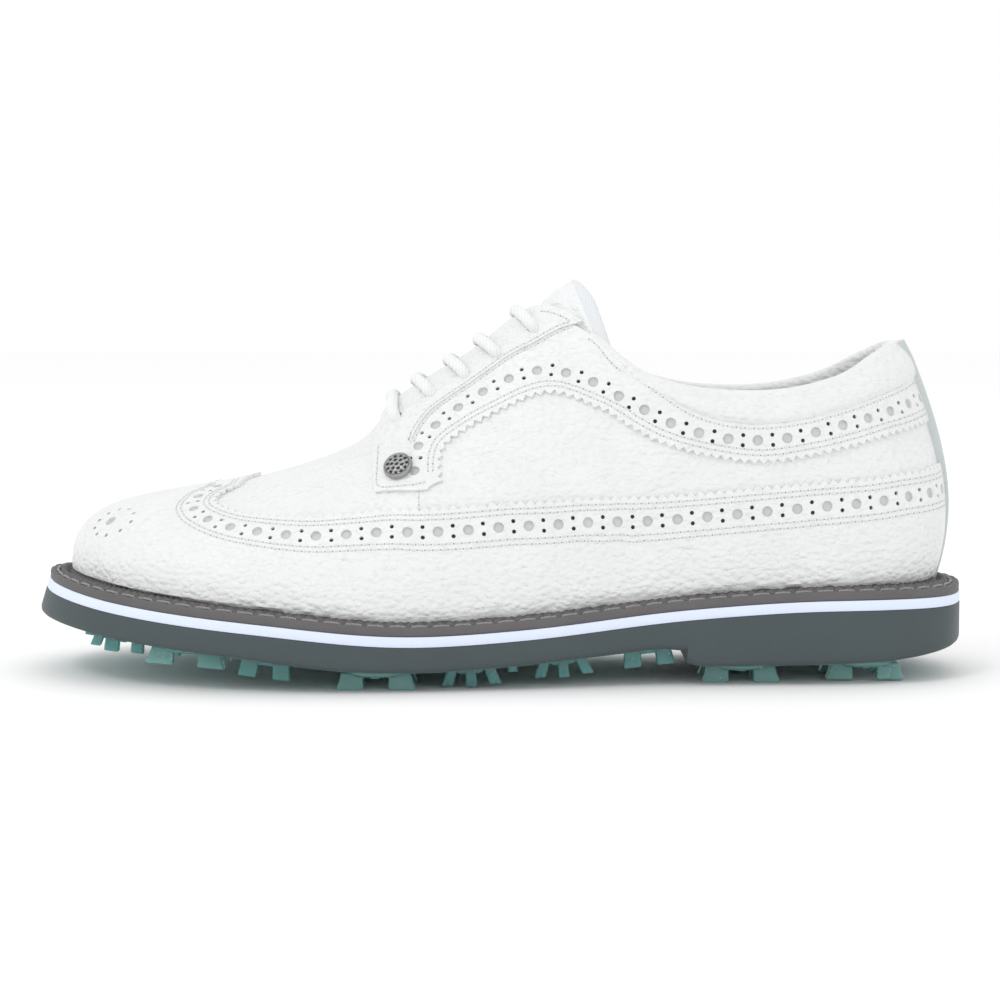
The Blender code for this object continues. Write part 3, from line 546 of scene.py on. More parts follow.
def pebbled(name, light, dark, roughness=0.42, grain=520.0, depth=0.0006):
    """Tumbled leather: rounded pebbles with fine creases between them."""
    made, nodes, links = shader(name, light, roughness, Specular_IOR_Level=0.45, Coat_Weight=0.06,
                                Coat_Roughness=0.3)
    warp = texture(nodes, links, "Noise", 220.0, Detail=3.0)
    push = nodes.new("ShaderNodeVectorMath")
    push.operation = "MULTIPLY_ADD"
    links.new(warp.outputs["Color"], push.inputs[0])
    push.inputs[1].default_value = (0.0012, 0.0012, 0.0012)
    links.new(nodes["coords"].outputs["Object"], push.inputs[2])
    stretch = nodes.new("ShaderNodeVectorMath")
    stretch.operation = "MULTIPLY"
    links.new(push.outputs[0], stretch.inputs[0])
    stretch.inputs[1].default_value = (0.7, 1.0, 1.15)
    cells = texture(nodes, links, "Voronoi", grain, feature="SMOOTH_F1", Smoothness=0.35)
    links.new(stretch.outputs[0], cells.inputs["Vector"])
    creases = texture(nodes, links, "Voronoi", grain * 0.75, feature="DISTANCE_TO_EDGE")
    links.new(stretch.outputs[0], creases.inputs["Vector"])
    broad = texture(nodes, links, "Noise", 75.0, Detail=4.0)
    edge_line = nodes.new("ShaderNodeMapRange")
    edge_line.inputs["From Max"].default_value = 0.10
    links.new(creases.outputs["Distance"], edge_line.inputs["Value"])
    pebbles = add_bump(nodes, links, cells.outputs["Distance"], 0.85, -depth)
    lines = add_bump(nodes, links, edge_line.outputs["Result"], 0.22, depth * 0.7, pebbles)
    add_bump(nodes, links, broad.outputs["Fac"], 0.8, depth * 3.0, lines)
    tint(nodes, links, broad.outputs["Fac"], dark, light)
    vary_roughness(nodes, links, cells.outputs["Distance"], roughness - 0.05, roughness + 0.14)
    return made


def woven(name, light, dark, pitch=0.0007, roughness=0.85):
    """Fine knit or braid."""
    made, nodes, links = shader(name, light, roughness, Sheen_Weight=0.25)
    waves = texture(nodes, links, "Wave", 1.0 / pitch / 3.2, Distortion=1.5)
    noise = texture(nodes, links, "Noise", 900.0, Detail=2.0)
    tint(nodes, links, waves.outputs["Fac"], dark, light)
    first = add_bump(nodes, links, waves.outputs["Fac"], 0.4, 0.0003)
    add_bump(nodes, links, noise.outputs["Fac"], 0.3, 0.0002, first)
    return made


def rubbery(name, light, dark, roughness=0.6, speck=900.0, depth=0.00012):
    made, nodes, links = shader(name, light, roughness, Specular_IOR_Level=0.4)
    fine = texture(nodes, links, "Noise", speck, Detail=3.0)
    broad = texture(nodes, links, "Noise", 45.0, Detail=3.0)
    tint(nodes, links, broad.outputs["Fac"], dark, light)
    add_bump(nodes, links, fine.outputs["Fac"], 0.35, depth)
    vary_roughness(nodes, links, fine.outputs["Fac"], roughness - 0.08, roughness + 0.1)
    return made


def translucent(name, colour, deep):
    """Cloudy moulded urethane."""
    made, nodes, links = shader(name, colour, 0.22, IOR=1.48, Transmission_Weight=0.35,
                                Subsurface_Weight=0.5, Subsurface_Scale=0.004,
                                Subsurface_Radius=(0.4, 1.0, 0.9))
    cloud = texture(nodes, links, "Noise", 160.0, Detail=2.0)
    tint(nodes, links, cloud.outputs["Fac"], deep, colour)
    vary_roughness(nodes, links, cloud.outputs["Fac"], 0.16, 0.34)
    return made


def metal(name, light, dark, roughness):
    made, nodes, links = shader(name, light, roughness, Metallic=1.0)
    worn = texture(nodes, links, "Noise", 500.0, Detail=4.0)
    tint(nodes, links, worn.outputs["Fac"], dark, light)
    vary_roughness(nodes, links, worn.outputs["Fac"], roughness - 0.1, roughness + 0.12)
    return made


LEATHER = pebbled("pebbled white leather", (0.81, 0.815, 0.815), (0.75, 0.76, 0.76))
TONGUE_LEATHER = pebbled("tongue leather", (0.85, 0.865, 0.87), (0.78, 0.795, 0.80), 0.5, 700.0, 0.0004)
STRIP_LEATHER = pebbled("back strip leather", (0.58, 0.63, 0.63), (0.50, 0.55, 0.55), 0.45, 900.0, 0.0002)
LINING = woven("collar lining", (0.74, 0.77, 0.80), (0.60, 0.63, 0.67))
TONGUE_EDGE = woven("tongue edge knit", (0.75, 0.77, 0.79), (0.73, 0.75, 0.77), 0.0009)
THREAD = woven("white thread", (0.80, 0.81, 0.81), (0.62, 0.63, 0.64), 0.0004, 0.7)
LACE = woven("lace braid", (0.84, 0.85, 0.85), (0.79, 0.80, 0.80), 0.0011, 0.8)
WELT = rubbery("grey welt", (0.140, 0.135, 0.138), (0.095, 0.091, 0.094), 0.62, 700.0, 0.0002)
WELT_THREAD = woven("welt thread", (0.34, 0.33, 0.33), (0.20, 0.19, 0.195), 0.0008, 0.75)
MIDSOLE = rubbery("midsole band", (0.74, 0.81, 0.95), (0.70, 0.77, 0.92), 0.5, 500.0, 0.00006)
OUTSOLE = rubbery("slate outsole", (0.060, 0.079, 0.084), (0.049, 0.066, 0.071), 0.5, 800.0, 0.0001)
CLEAT = translucent("cleat urethane", (0.28, 0.55, 0.52), (0.18, 0.43, 0.41))
PLATE = translucent("traction plate urethane", (0.16, 0.42, 0.40), (0.10, 0.32, 0.31))
DARK = rubbery("receptacle nylon", (0.05, 0.05, 0.055), (0.035, 0.035, 0.04), 0.45)
STEEL = metal("worn nickel", (0.44, 0.44, 0.44), (0.27, 0.27, 0.28), 0.3)
# painted shade: near black for the shade in the stud's dimples
SHADOW = rubbery("stud dimple painted shade", (0.03, 0.03, 0.03), (0.015, 0.015, 0.015), 0.6)
BOARD = rubbery("fibre board", (0.45, 0.38, 0.30), (0.36, 0.30, 0.23), 0.85)
CORK = rubbery("cork", (0.42, 0.27, 0.14), (0.26, 0.16, 0.08), 0.9, 350.0, 0.0004)
# painted shade: grey discs stand for the shade inside the needle holes
NEEDLE_HOLE_PAINTED_SHADE = rubbery("needle hole painted shade", (0.42, 0.42, 0.43), (0.33, 0.33, 0.34), 0.9)
# painted shade: this grey stands for the white backing leather in shade inside the large holes
HOLE_GREY_PAINTED_SHADE = rubbery("grey painted shade in holes", (0.66, 0.67, 0.68), (0.56, 0.57, 0.58), 0.9, 600.0, 0.0002)
# painted shade: near black fills the small holes, where only shade shows
HOLE_SHADE = rubbery("dark painted shade in holes", (0.075, 0.077, 0.08), (0.05, 0.052, 0.055), 0.9, 600.0, 0.0002)
WELT_BEADS = woven("dark welt beads", (0.11, 0.085, 0.085), (0.045, 0.035, 0.035), 0.0009, 0.7)
FOOTBED = woven("footbed cloth", (0.70, 0.73, 0.76), (0.58, 0.61, 0.64), 0.0011)
FOAM = rubbery("open foam", (0.70, 0.70, 0.62), (0.60, 0.60, 0.52), 0.95, 500.0, 0.0003)

for names, look in (
        (("insole_board", "toe_puff", "heel_counter"), BOARD),
        (("forefoot_filler",), CORK),
        (("collar_foam_lateral", "collar_foam_medial"), FOAM),
        (("shank",), STEEL),
        ([n for n in NODES if n.startswith("receptacle_")], DARK)):
    for node in names:
        for place in NODES[node].material_slots:
            place.material = look


# ---- leather panels ---------------------------------------------------------------------------
WING_LIFT, QUARTER_LIFT, FACING_LIFT = 1.15, 1.15, 1.9
FACING_TOP = 10.85               # rib where the facing's seam meets its upper edge
# seams as (x, z) points along one side; both sides share them
WING_EDGE = ((-84.0, 61.2), (-88.5, 59.2), (-90.5, 56.8), (-86.0, 55.0), (-78.0, 53.8), (-61.0, 53.3),
             (-46.0, 54.4), (-28.3, 56.1), (-1.2, 57.8), (26.0, 59.2), (64.5, 61.0), (97.0, 63.8),
             (123.0, 65.6), (138.0, 67.1))
GIMP_EDGE = ((-17.8, 64.8), (-18.2, 70.0), (-16.7, 75.5), (-10.4, 80.4), (-3.5, 84.4), (7.9, 90.0),
             (19.3, 92.2), (27.9, 89.4), (40.6, 82.8), (51.7, 77.0), (67.6, 72.7), (83.8, 70.9),
             (100.0, 73.0), (116.6, 76.7), (134.0, 81.0))
BROGUE_ROW = ((-26.1, 67.4), (-24.9, 74.9), (-18.9, 81.9), (-11.6, 87.4), (-4.7, 91.8), (3.5, 96.0),
              (12.3, 98.8), (21.5, 98.4), (29.9, 95.8), (38.4, 91.3), (46.6, 87.0), (55.1, 82.8),
              (64.8, 79.6), (74.9, 77.8), (84.7, 77.6), (94.1, 78.6), (104.5, 80.9), (114.0, 83.2),
              (122.0, 85.0), (130.0, 87.4))
COLLAR_SEAM = ((36.0, 106.8), (41.3, 101.7), (51.9, 93.0), (62.5, 86.3), (77.2, 82.7), (93.6, 83.4),
               (110.0, 87.2), (127.5, 92.8), (137.0, 96.0))
FACING_SEAM = ((-29.5, 72.5), (-27.6, 74.8), (-25.5, 79.5), (-20.4, 86.0), (-7.7, 94.8), (2.2, 102.0),
               (14.0, 108.6), (25.2, 113.6))
TAB_FRONT = ((-38.2, 61.0), (-38.9, 67.7), (-39.2, 74.0), (-38.6, 79.0))


def flat_level(value):
    return lambda side, uv: np.full(len(uv), value)


def joined(*lines):
    return np.concatenate(lines)


def wing_line(side, step=0.6):
    """The wing's upper edge: from the middle line at the toe's peak, then back to the heel."""
    body = find(side, WING_EDGE)
    peak = np.array([[4.28, 1.0], [4.12, 0.93]])
    end = np.array([[LAST, find(side, ((144.0, 67.9),))[0, 1]]])
    return trace(side, joined(peak, body, end), step)


def make_wing():
    """The long wing cap, brogued and gimped, round the toe and along both sides to the heel."""
    parts, stitches = [], []
    for side in (-1, 1):
        upper = wing_line(side)
        toothed = zigzag(side, upper, 3.0, 1.6)
        toothed = joined(upper[:1], toothed[1:-1], upper[-1:])
        heel_v, peak_u = upper[-1, 1], upper[0, 0]
        heel = np.stack([np.full(24, LAST), np.linspace(heel_v, -0.03, 25)[1:]], -1)
        low = np.stack([np.linspace(LAST, 0, 200)[1:], np.full(199, -0.03)], -1)
        toe = np.stack([np.zeros(36), np.linspace(-0.03, 1, 37)[1:]], -1)
        ridge = np.stack([np.linspace(0, peak_u, 24)[1:-1], np.ones(22)], -1)
        outline = joined(toothed, heel, low, toe, ridge)
        row_line = trace(side, offset(side, upper[24:], -7.4)[::6])
        holes = brogue(side, row_line, 9.5, spread=1.65)
        holes += medallion(side)
        parts.append((side, outline, holes, flat_level(WING_LIFT)))
        for distance in (-2.0, -3.6, -11.3, -13.0):
            line = offset(side, upper[14:], distance)
            stitches += stitch_on(side, trace(side, line[::5]), WING_LIFT)
    wing = leather("wing_cap_leather", parts, LEATHER)
    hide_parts("wing_cap")
    finish_piece("wing_stitches", from_arrays(stitches), THREAD)


def medallion(side):
    """Half of the toe's plain pattern: one large hole in a ring of small ones, on each side."""
    centre = find(side, ((-125.0, 49.5),))[0]
    _, tangent, across, _ = frame_on(side, np.array([centre, centre + [0.02, 0]]))
    holes = [disc(side, centre, 1.9, tangent[0], across[0], LARGE_HOLE_SIDES)]
    for i in range(10):
        angle = 2 * np.pi * i / 10
        move = 8.5 * math.cos(angle) * tangent[:1] + 6.0 * math.sin(angle) * across[:1]
        moved = shift(side, centre[None], move)[0]
        holes.append(disc(side, moved, 0.7, tangent[0], across[0], SMALL_HOLE_SIDES))
    return holes


def make_vamp():
    """The plain vamp between the wing and the facings."""
    parts = []
    for side in (-1, 1):
        u_front = 3.3
        ridge = np.stack([np.linspace(u_front, 7.6, 40), np.ones(40)], -1)
        back = find(side, ((-31.0, 84.0), (-28.0, 76.0), (-26.4, 66.0), (-26.2, 58.0), (-26.0, 50.0),
                           (-25.8, 42.0)))
        back = trace(side, joined(ridge[-1:], back), 1.2)
        bottom = trace(side, find(side, ((-25.8, 42.0), (-45.0, 41.0), (-62.0, 41.5), (-78.0, 44.0),
                                         (-90.0, 47.5), (-98.0, 51.0))), 1.5)
        front = trace(side, joined(bottom[-1:], [[2.9, 0.8], [3.1, 0.92], [u_front, 1.0]]), 1.2)
        outline = joined(ridge, back[1:], bottom[1:], front[1:-1])
        parts.append((side, outline, [], flat_level(0.0)))
    vamp = leather("vamp_leather", parts, LEATHER, thickness=0.9)
    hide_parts("vamp")


def make_side_panels():
    """Plain leather from the side seam to the heel, under the wing and the quarter."""
    for side, word in ((-1, "lateral"), (1, "medial")):
        front = trace(side, find(side, ((-26.6, 42.0), (-26.9, 58.0), (-26.9, 66.0), (-22.0, 84.0))), 1.2)
        top = trace(side, joined(front[-1:], find(side, ((0.0, 101.0), (15.0, 106.0), (30.0, 104.0),
                    (45.0, 95.0), (62.0, 84.0), (80.0, 79.5), (100.0, 81.5), (120.0, 87.0))),
                    [[LAST, 0.72]]), 1.5)
        heel = np.stack([np.full(16, LAST), np.linspace(0.72, 0.3, 17)[1:]], -1)
        low = trace(side, joined(heel[-1:], find(side, ((120.0, 55.0), (90.0, 50.0), (40.0, 46.0),
                                                        (0.0, 43.0), (-26.6, 42.0)))), 1.5)
        outline = joined(front, top[1:], heel, low[1:-1])
        panel = leather("side_panel_leather_" + word, [(side, outline, [], flat_level(0.05))], LEATHER,
                        thickness=0.9)
        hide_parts("side_panel_" + word)


def make_quarters():
    """The gimped, brogued quarter with its front tab, and the facing over its upper edge."""
    for side, word in ((-1, "lateral"), (1, "medial")):
        gimp = trace(side, joined(find(side, GIMP_EDGE), [[LAST, find(side, ((140.5, 83.0),))[0, 1]]]))
        toothed = zigzag(side, gimp, 3.0, 1.5)
        tab_front = seam_line(side, TAB_FRONT)
        tab_foot = trace(side, find(side, ((-17.8, 64.8), (-21.5, 62.9), (-21.6, 62.2), (-38.2, 61.0))), 0.8)
        top_points = find(side, ((-34.0, 82.5), (-20.0, 93.0), (-5.0, 102.0), (10.0, 112.0), (24.0, 114.0),
                                 (34.0, 107.0)))
        top_front = trace(side, joined(tab_front[-1:], top_points), 1.5)
        collar = trace(side, joined(top_front[-1:], find(side, COLLAR_SEAM), [[LAST, 0.815]]), 1.2)
        heel = np.stack([np.full(10, LAST), np.linspace(0.815, toothed[-1, 1], 12)[1:-1]], -1)
        outline = joined(tab_front, top_front[1:], collar[1:], heel, toothed[::-1], tab_foot[1:-1])
        row = trace(side, joined(find(side, BROGUE_ROW), [[LAST, find(side, ((136.5, 89.5),))[0, 1]]]))
        holes = brogue(side, row, 9.35, spread=1.6, start=0.2)
        quarter = leather("quarter_leather_" + word, [(side, outline, holes, flat_level(QUARTER_LIFT))],
                          LEATHER)
        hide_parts("quarter_" + word)
        stitches = []
        for distance in (2.0, 3.7):
            stitches += stitch_on(side, trace(side, offset(side, gimp[6:], distance)[::5]), QUARTER_LIFT)
        collar_row = trace(side, offset(side, collar[8:], -1.3)[::4])
        stitches += stitch_on(side, collar_row, QUARTER_LIFT, 1.5, 1.3, 0.26)
        border = trace(side, find(side, ((-37.2, 78.0), (-37.6, 68.0), (-36.9, 62.6), (-28.0, 63.2),
                                         (-20.6, 64.6))))
        stitches += stitch_on(side, border, QUARTER_LIFT)
        stitches += stitch_on(side, seam_line(side, ((-24.6, 62.0), (-24.4, 54.0))), 0.05)
        finish_piece("quarter_stitches_" + word, from_arrays(stitches), THREAD)
        make_facing(side, word)


def facing_level(side, uv):
    """The facing sinks into the quarter at its front lower end."""
    height = surface(side, uv[:, 0], uv[:, 1])[:, 2]
    return QUARTER_LIFT - 0.25 + (FACING_LIFT - QUARTER_LIFT + 0.25) * ramp(73.0, 79.0, height)


def make_facing(side, word):
    front = trace(side, find(side, ((-29.5, 72.0), (-34.0, 72.6), (-38.9, 72.8), (-38.6, 79.0))), 0.8)
    corner = trace(side, joined(front[-1:], [[6.92, 0.90], [7.02, 0.97], [7.25, 1.0]]), 0.8)
    inner = np.stack([np.linspace(7.25, FACING_TOP, 60)[1:], np.ones(59)], -1)
    foot = seam_line(side, FACING_SEAM)[::-1]
    outline = joined(front, corner[1:], inner, foot[:-1])
    holes = []
    for number in range(len(EYELETS)):
        spot = eyelet_uv(side, number)
        _, tangent, across, _ = frame_on(side, np.array([spot, spot + [0.02, 0]]))
        holes.append(disc(side, spot, 1.9, tangent[0], across[0], LARGE_HOLE_SIDES))
    facing = leather("facing_leather_" + word, [(side, outline, holes, facing_level)], LEATHER,
                     thickness=1.9, spacing=2.2)
    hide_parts("facing_" + word)
    stitches = []
    seam = seam_line(side, FACING_SEAM)
    for distance, level in ((0.9, FACING_LIFT), (-0.9, QUARTER_LIFT)):
        stitches += stitch_on(side, trace(side, offset(side, seam, distance)[9::5]), level)
    top_row = trace(side, offset(side, trace(side, np.stack([np.linspace(10.1, FACING_TOP - 0.15, 12),
                    np.full(12, 0.985)], -1)), -1.3)[::4])
    stitches += stitch_on(side, top_row, FACING_LIFT, 1.4, 0.9)
    stitches += stitch_on(side, trace(side, np.array([[10.95, 0.935], [11.5, 0.93], [12.2, 0.925]])),
                          QUARTER_LIFT, 1.4, 0.9)
    finish_piece("facing_stitches_" + word, from_arrays(stitches), THREAD)


def eyelet_uv(side, number):
    """The eyelet's place, at its distance below the facing's inner edge."""
    u, inset, _ = EYELETS[number]
    v = np.linspace(1.0, 0.3, 400)
    p = surface(side, np.full_like(v, u), v)
    far = np.linalg.norm(p - p[:1], axis=1)
    return np.array([u, np.interp(inset, far, v)])


make_wing()
make_vamp()
make_side_panels()
make_quarters()


# ---- meshes made of rings ---------------------------------------------------------------------
def ring_mesh(rings, closed_rings=True, closed_run=False, caps=False):
    """(points, faces) of a grid of rings, each an array of points."""
    rings = [np.asarray(r) for r in rings]
    width, count = len(rings[0]), len(rings)
    faces = []
    for i in range(count if closed_run else count - 1):
        k = (i + 1) % count
        for j in range(width if closed_rings else width - 1):
            m = (j + 1) % width
            faces.append((i * width + j, k * width + j, k * width + m, i * width + m))
    if caps:
        faces.append(tuple(reversed(range(width))))
        faces.append(tuple(range((count - 1) * width, count * width)))
    return np.concatenate(rings), faces


def solid(name, parts, material, body=ROOT, sharp=40.0, weld=0.01, place=True):
    """One piece from (points, faces) parts, welded, with faces turned outwards."""
    bm = from_arrays(parts)
    bmesh.ops.remove_doubles(bm, verts=bm.verts, dist=weld)
    bmesh.ops.dissolve_degenerate(bm, edges=bm.edges, dist=0.003)
    bmesh.ops.recalc_face_normals(bm, faces=bm.faces)
    return finish_piece(name, bm, material, body, sharp, place=place)


def tube(path, radius, sides=12, ends=True):
    """A round tube along a 3-D path; radius may vary along it."""
    path = np.asarray(path, float)
    radius = np.broadcast_to(np.asarray(radius, float), (len(path),))
    tangent = unit(np.gradient(path, axis=0))
    side = unit(np.cross(tangent[0], [0.31, 0.2, 0.93]))
    rings = []
    angles = 2 * np.pi * np.arange(sides) / sides
    for p, t, r in zip(path, tangent, radius):
        side = unit(side - t * np.dot(side, t))
        other = np.cross(t, side)
        rings.append(p + r * (np.cos(angles)[:, None] * side + np.sin(angles)[:, None] * other))
    if ends:
        for sign, at in ((-1, 0), (1, -1)):
            t, r, p = tangent[at] * sign, radius[at], path[at]
            ball = [p + t * r * math.sin(a) + (rings[at] - p) * math.cos(a) for a in (0.5, 1.0, 1.4)]
            rings = ball[::-1] + rings if sign < 0 else rings + ball
    return ring_mesh(rings, caps=True)


# ---- sole -------------------------------------------------------------------------------------
def feather(x):
    return curve(FEATHER, x)


def toe_lean(s):
    """How far the sole's wall leans in from bottom to top, round the toe."""
    return 3.4 * ramp(0.30, 0.04, s)


def wall_share(x, z):
    low = curve(TREAD, np.minimum(x, HEEL_FRONT))
    return np.clip((z - low) / np.maximum(feather(x) - low, 1.0), 0, 1.4)


def section(s, rows, columns=9):
    """A closed ring across the sole at s: rows are (inset, height function) from bottom to top."""
    halves = []
    for side in (-1, 1):
        points = []
        for inset, height in rows:
            plan_point, _ = edge(side, s, inset)
            z = height(plan_point[0])
            lean = toe_lean(s) * wall_share(plan_point[0], z)
            plan_point, _ = edge(side, s, inset + lean)
            points.append((plan_point[0], plan_point[1], z))
        halves.append(np.array(points))
    left, right = halves
    shares = np.linspace(0, 1, columns + 1)[1:-1, None]
    top = left[-1] * (1 - shares) + right[-1] * shares
    low = right[0] * (1 - shares) + left[0] * shares
    top[:, 2] = rows[-1][1](top[:, 0])
    low[:, 2] = rows[0][1](low[:, 0])
    return np.concatenate([left, top, right[::-1], low])


def sole_stations(count, low=0.0, high=1.0):
    return np.linspace(low, high, count)


def make_outsole():
    """Rubber unit: a forefoot and a heel block that share their wall, with rounded lower edges."""
    s_heel = math.acos(-HEEL_FRONT * 2 / SOLE_LENGTH) / math.pi

    def top(x):
        return feather(x) - MIDSOLE_THICKNESS - 0.06

    def forefoot(rise):
        return lambda x: curve(TREAD, np.minimum(x, HEEL_FRONT)) + rise - 1.6 * ramp(50.0, HEEL_FRONT, x)

    def heel(rise):
        return lambda x: curve(HEEL_FACE, x) + rise

    rows = ((2.2, 0.0), (1.0, 0.2), (0.35, 0.7), (0.05, 1.5), (0.0, 2.6))
    parts = []
    for level, stations, front_edge in ((forefoot, sole_stations(150, 0.0, s_heel), False),
                                        (heel, sole_stations(80, s_heel, 1.0), True)):
        rings = []
        for i, s in enumerate(stations):
            def row_height(rise, i=i, level=level, front_edge=front_edge):
                soft = 1.4 * (1 - min(i, 3) / 3)**2 if front_edge else 0.0
                base = level(rise)
                return lambda x: base(x) + soft
            profile = [(inset, row_height(rise)) for inset, rise in rows]
            profile += [(0.0, lambda x: top(x) - 0.5), (0.25, top)]
            rings.append(section(s, profile, 14))
        parts.append(ring_mesh(rings, caps=True))
    outsole = solid("outsole_rubber", parts, OUTSOLE, sharp=50.0)
    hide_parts("outsole")


def make_midsole():
    profile = [(1.0, lambda x: feather(x) - MIDSOLE_THICKNESS + 0.05),
               (0.2, lambda x: feather(x) - MIDSOLE_THICKNESS + 0.1),
               (0.05, lambda x: feather(x) - MIDSOLE_THICKNESS + 0.4), (0.05, lambda x: feather(x) - 0.4),
               (0.2, lambda x: feather(x) - 0.08), (1.0, lambda x: feather(x) - 0.03)]
    rings = [section(s, profile, 6) for s in sole_stations(220)]
    band = solid("midsole_band", [ring_mesh(rings, caps=True)], MIDSOLE, sharp=50.0)
    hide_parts("midsole")


def perimeter(inset, step):
    """Evenly spaced (side, s) places round the whole sole, closed."""
    walk = []
    for side, order in ((-1, 1), (1, -1)):
        s = np.linspace(0, 1, 1201)[::order]
        p, _ = edge(side, s, inset)
        run = lengths(p)
        even = np.arange(0, run[-1], step)
        walk += [(side, value) for value in np.interp(even, run, s)]
    return walk


FOOT_LINE = np.concatenate([surface(side, np.linspace(0, LAST, 600), np.zeros(600))[:, :2]
                            for side in (-1, 1)])


def shelf(side, s):
    """Width of the welt between its own edge and the upper's foot."""
    p, _ = edge(side, s, toe_lean(s))
    return float(np.linalg.norm(FOOT_LINE - p, axis=1).min())


def welt_point(side, s, inset, rise):
    lean = toe_lean(s)
    p, normal = edge(side, s, inset + lean)
    return np.array([p[0], p[1], feather(p[0]) + rise]), np.array([normal[0], normal[1], 0.0])


def make_welt():
    """Grey welt with a flat side band, a wheeled ridge and a second ridge against the upper."""
    step = 0.62
    walk = perimeter(4.0, step)
    rings = []
    for i, (side, s) in enumerate(walk):
        wide = shelf(side, s)
        run = i * step
        wheel = abs(math.sin(math.pi * run / 3.1))
        bead = 0.5 + 0.5 * math.cos(2 * math.pi * run / 2.5)
        scallop = 0.35 * abs(math.sin(math.pi * run / 6.8))
        profile = ((1.2, 0.02), (0.45, 0.1), (0.3, 0.4), (0.3, 2.1 + scallop), (0.5, 2.55 + scallop),
                   (1.0, 2.75 + scallop), (0.28 * wide, 2.55), (0.34 * wide, 2.2), (0.40 * wide, 2.5),
                   (0.46 * wide, 3.1 + 0.7 * wheel), (0.56 * wide, 3.25 + 0.9 * wheel),
                   (0.66 * wide, 3.0 + 0.6 * wheel), (0.73 * wide, 2.5), (0.80 * wide, 2.8 + 0.3 * bead),
                   (0.90 * wide, 3.5 + 0.6 * bead), (wide + 0.3, 3.9 + 0.3 * bead), (wide + 2.0, 3.1),
                   (WELT_WIDTH, 3.0), (WELT_WIDTH, 0.02))
        rings.append([welt_point(side, s, inset, rise)[0] for inset, rise in profile])
    welt = solid("welt_strip", [ring_mesh(rings, closed_run=True)], WELT, sharp=60.0)
    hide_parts("welt")
    for name, share, rise, length, gap, radius, look in (
            ("welt_stitches", 0.30, 2.85, 6.4, 0.4, 0.48, WELT_THREAD),
            ("welt_inner_stitches", 0.735, 2.75, 1.7, 0.9, 0.42, WELT_BEADS)):
        path = [welt_point(side, s, share * shelf(side, s) + 0.15, rise)[0] for side, s in walk[::2]]
        path = np.array(path + path[:1])
        finish_piece(name, from_arrays(thread(path, np.tile([0.0, 0.0, 1.0], (len(path), 1)), length, gap,
                                              radius, 6, 0.6, False)), look)


def make_sockliner():
    """The padded footbed, slightly dished, seen through the mouth."""
    def floor(x):
        return feather(x) + WELT_THICKNESS + 0.6

    rows = [(FOOT_INSET + 1.2, floor), (FOOT_INSET, lambda x: floor(x) + 0.8),
            (FOOT_INSET - 0.6, lambda x: floor(x) + 3.6), (FOOT_INSET + 0.6, lambda x: floor(x) + 4.4),
            (FOOT_INSET + 3.5, lambda x: floor(x) + 3.9)]
    rings = [section(s, rows, 8) for s in sole_stations(90, 0.10, 0.93)]
    bed = solid("sockliner_pad", [ring_mesh(rings, caps=True)], FOOTBED, sharp=60.0)
    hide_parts("sockliner")


# ---- traction plates and cleats ---------------------------------------------------------------
CLEAT_NAMES = [name[len("cleat_"):] for name in NODES if name.startswith("cleat_")]


def rounded_rect(hx, hy, r=0.7, steps=3):
    """Corner-rounded rectangle as points in order."""
    points = []
    for cx, cy, start in ((1, 1, 0.0), (-1, 1, 0.5), (-1, -1, 1.0), (1, -1, 1.5)):
        for k in range(steps + 1):
            a = math.pi * (start + 0.5 * k / steps)
            points.append((cx * (hx - r) + r * math.cos(a), cy * (hy - r) + r * math.sin(a)))
    return np.array(points)


def leg(centre, turn, width, depth, height, lean_out=0.0, lean_side=0.0, flare=1.15):
    """A rounded block leg that hangs from centre; turn's columns are side, out and up."""
    rings = []
    for share, grow, r in ((0.0, 0.94, 0.6), (0.5, 1.0, 0.7), (0.93, flare, 0.7), (1.0, flare * 0.93, 0.6)):
        flat = rounded_rect(width / 2 * grow, depth / 2 * (1 + (grow - 1) * 0.4), min(r, depth / 2.2))
        flat = flat + np.array([lean_side, lean_out]) * share
        points = np.concatenate([flat, np.full((len(flat), 1), -height * share)], 1)
        rings.append(points @ turn.T + centre)
    return ring_mesh(rings, caps=True)


def turned(profile, sectors, turn, origin):
    """A body turned about the up axis from (radius, height) points."""
    angles = 2 * np.pi * np.arange(sectors) / sectors
    rings = []
    for r, z in profile:
        ring = np.stack([r * np.cos(angles), r * np.sin(angles), np.full(sectors, z)], -1)
        rings.append(ring @ turn.T + origin)
    return ring_mesh(rings, caps=True)


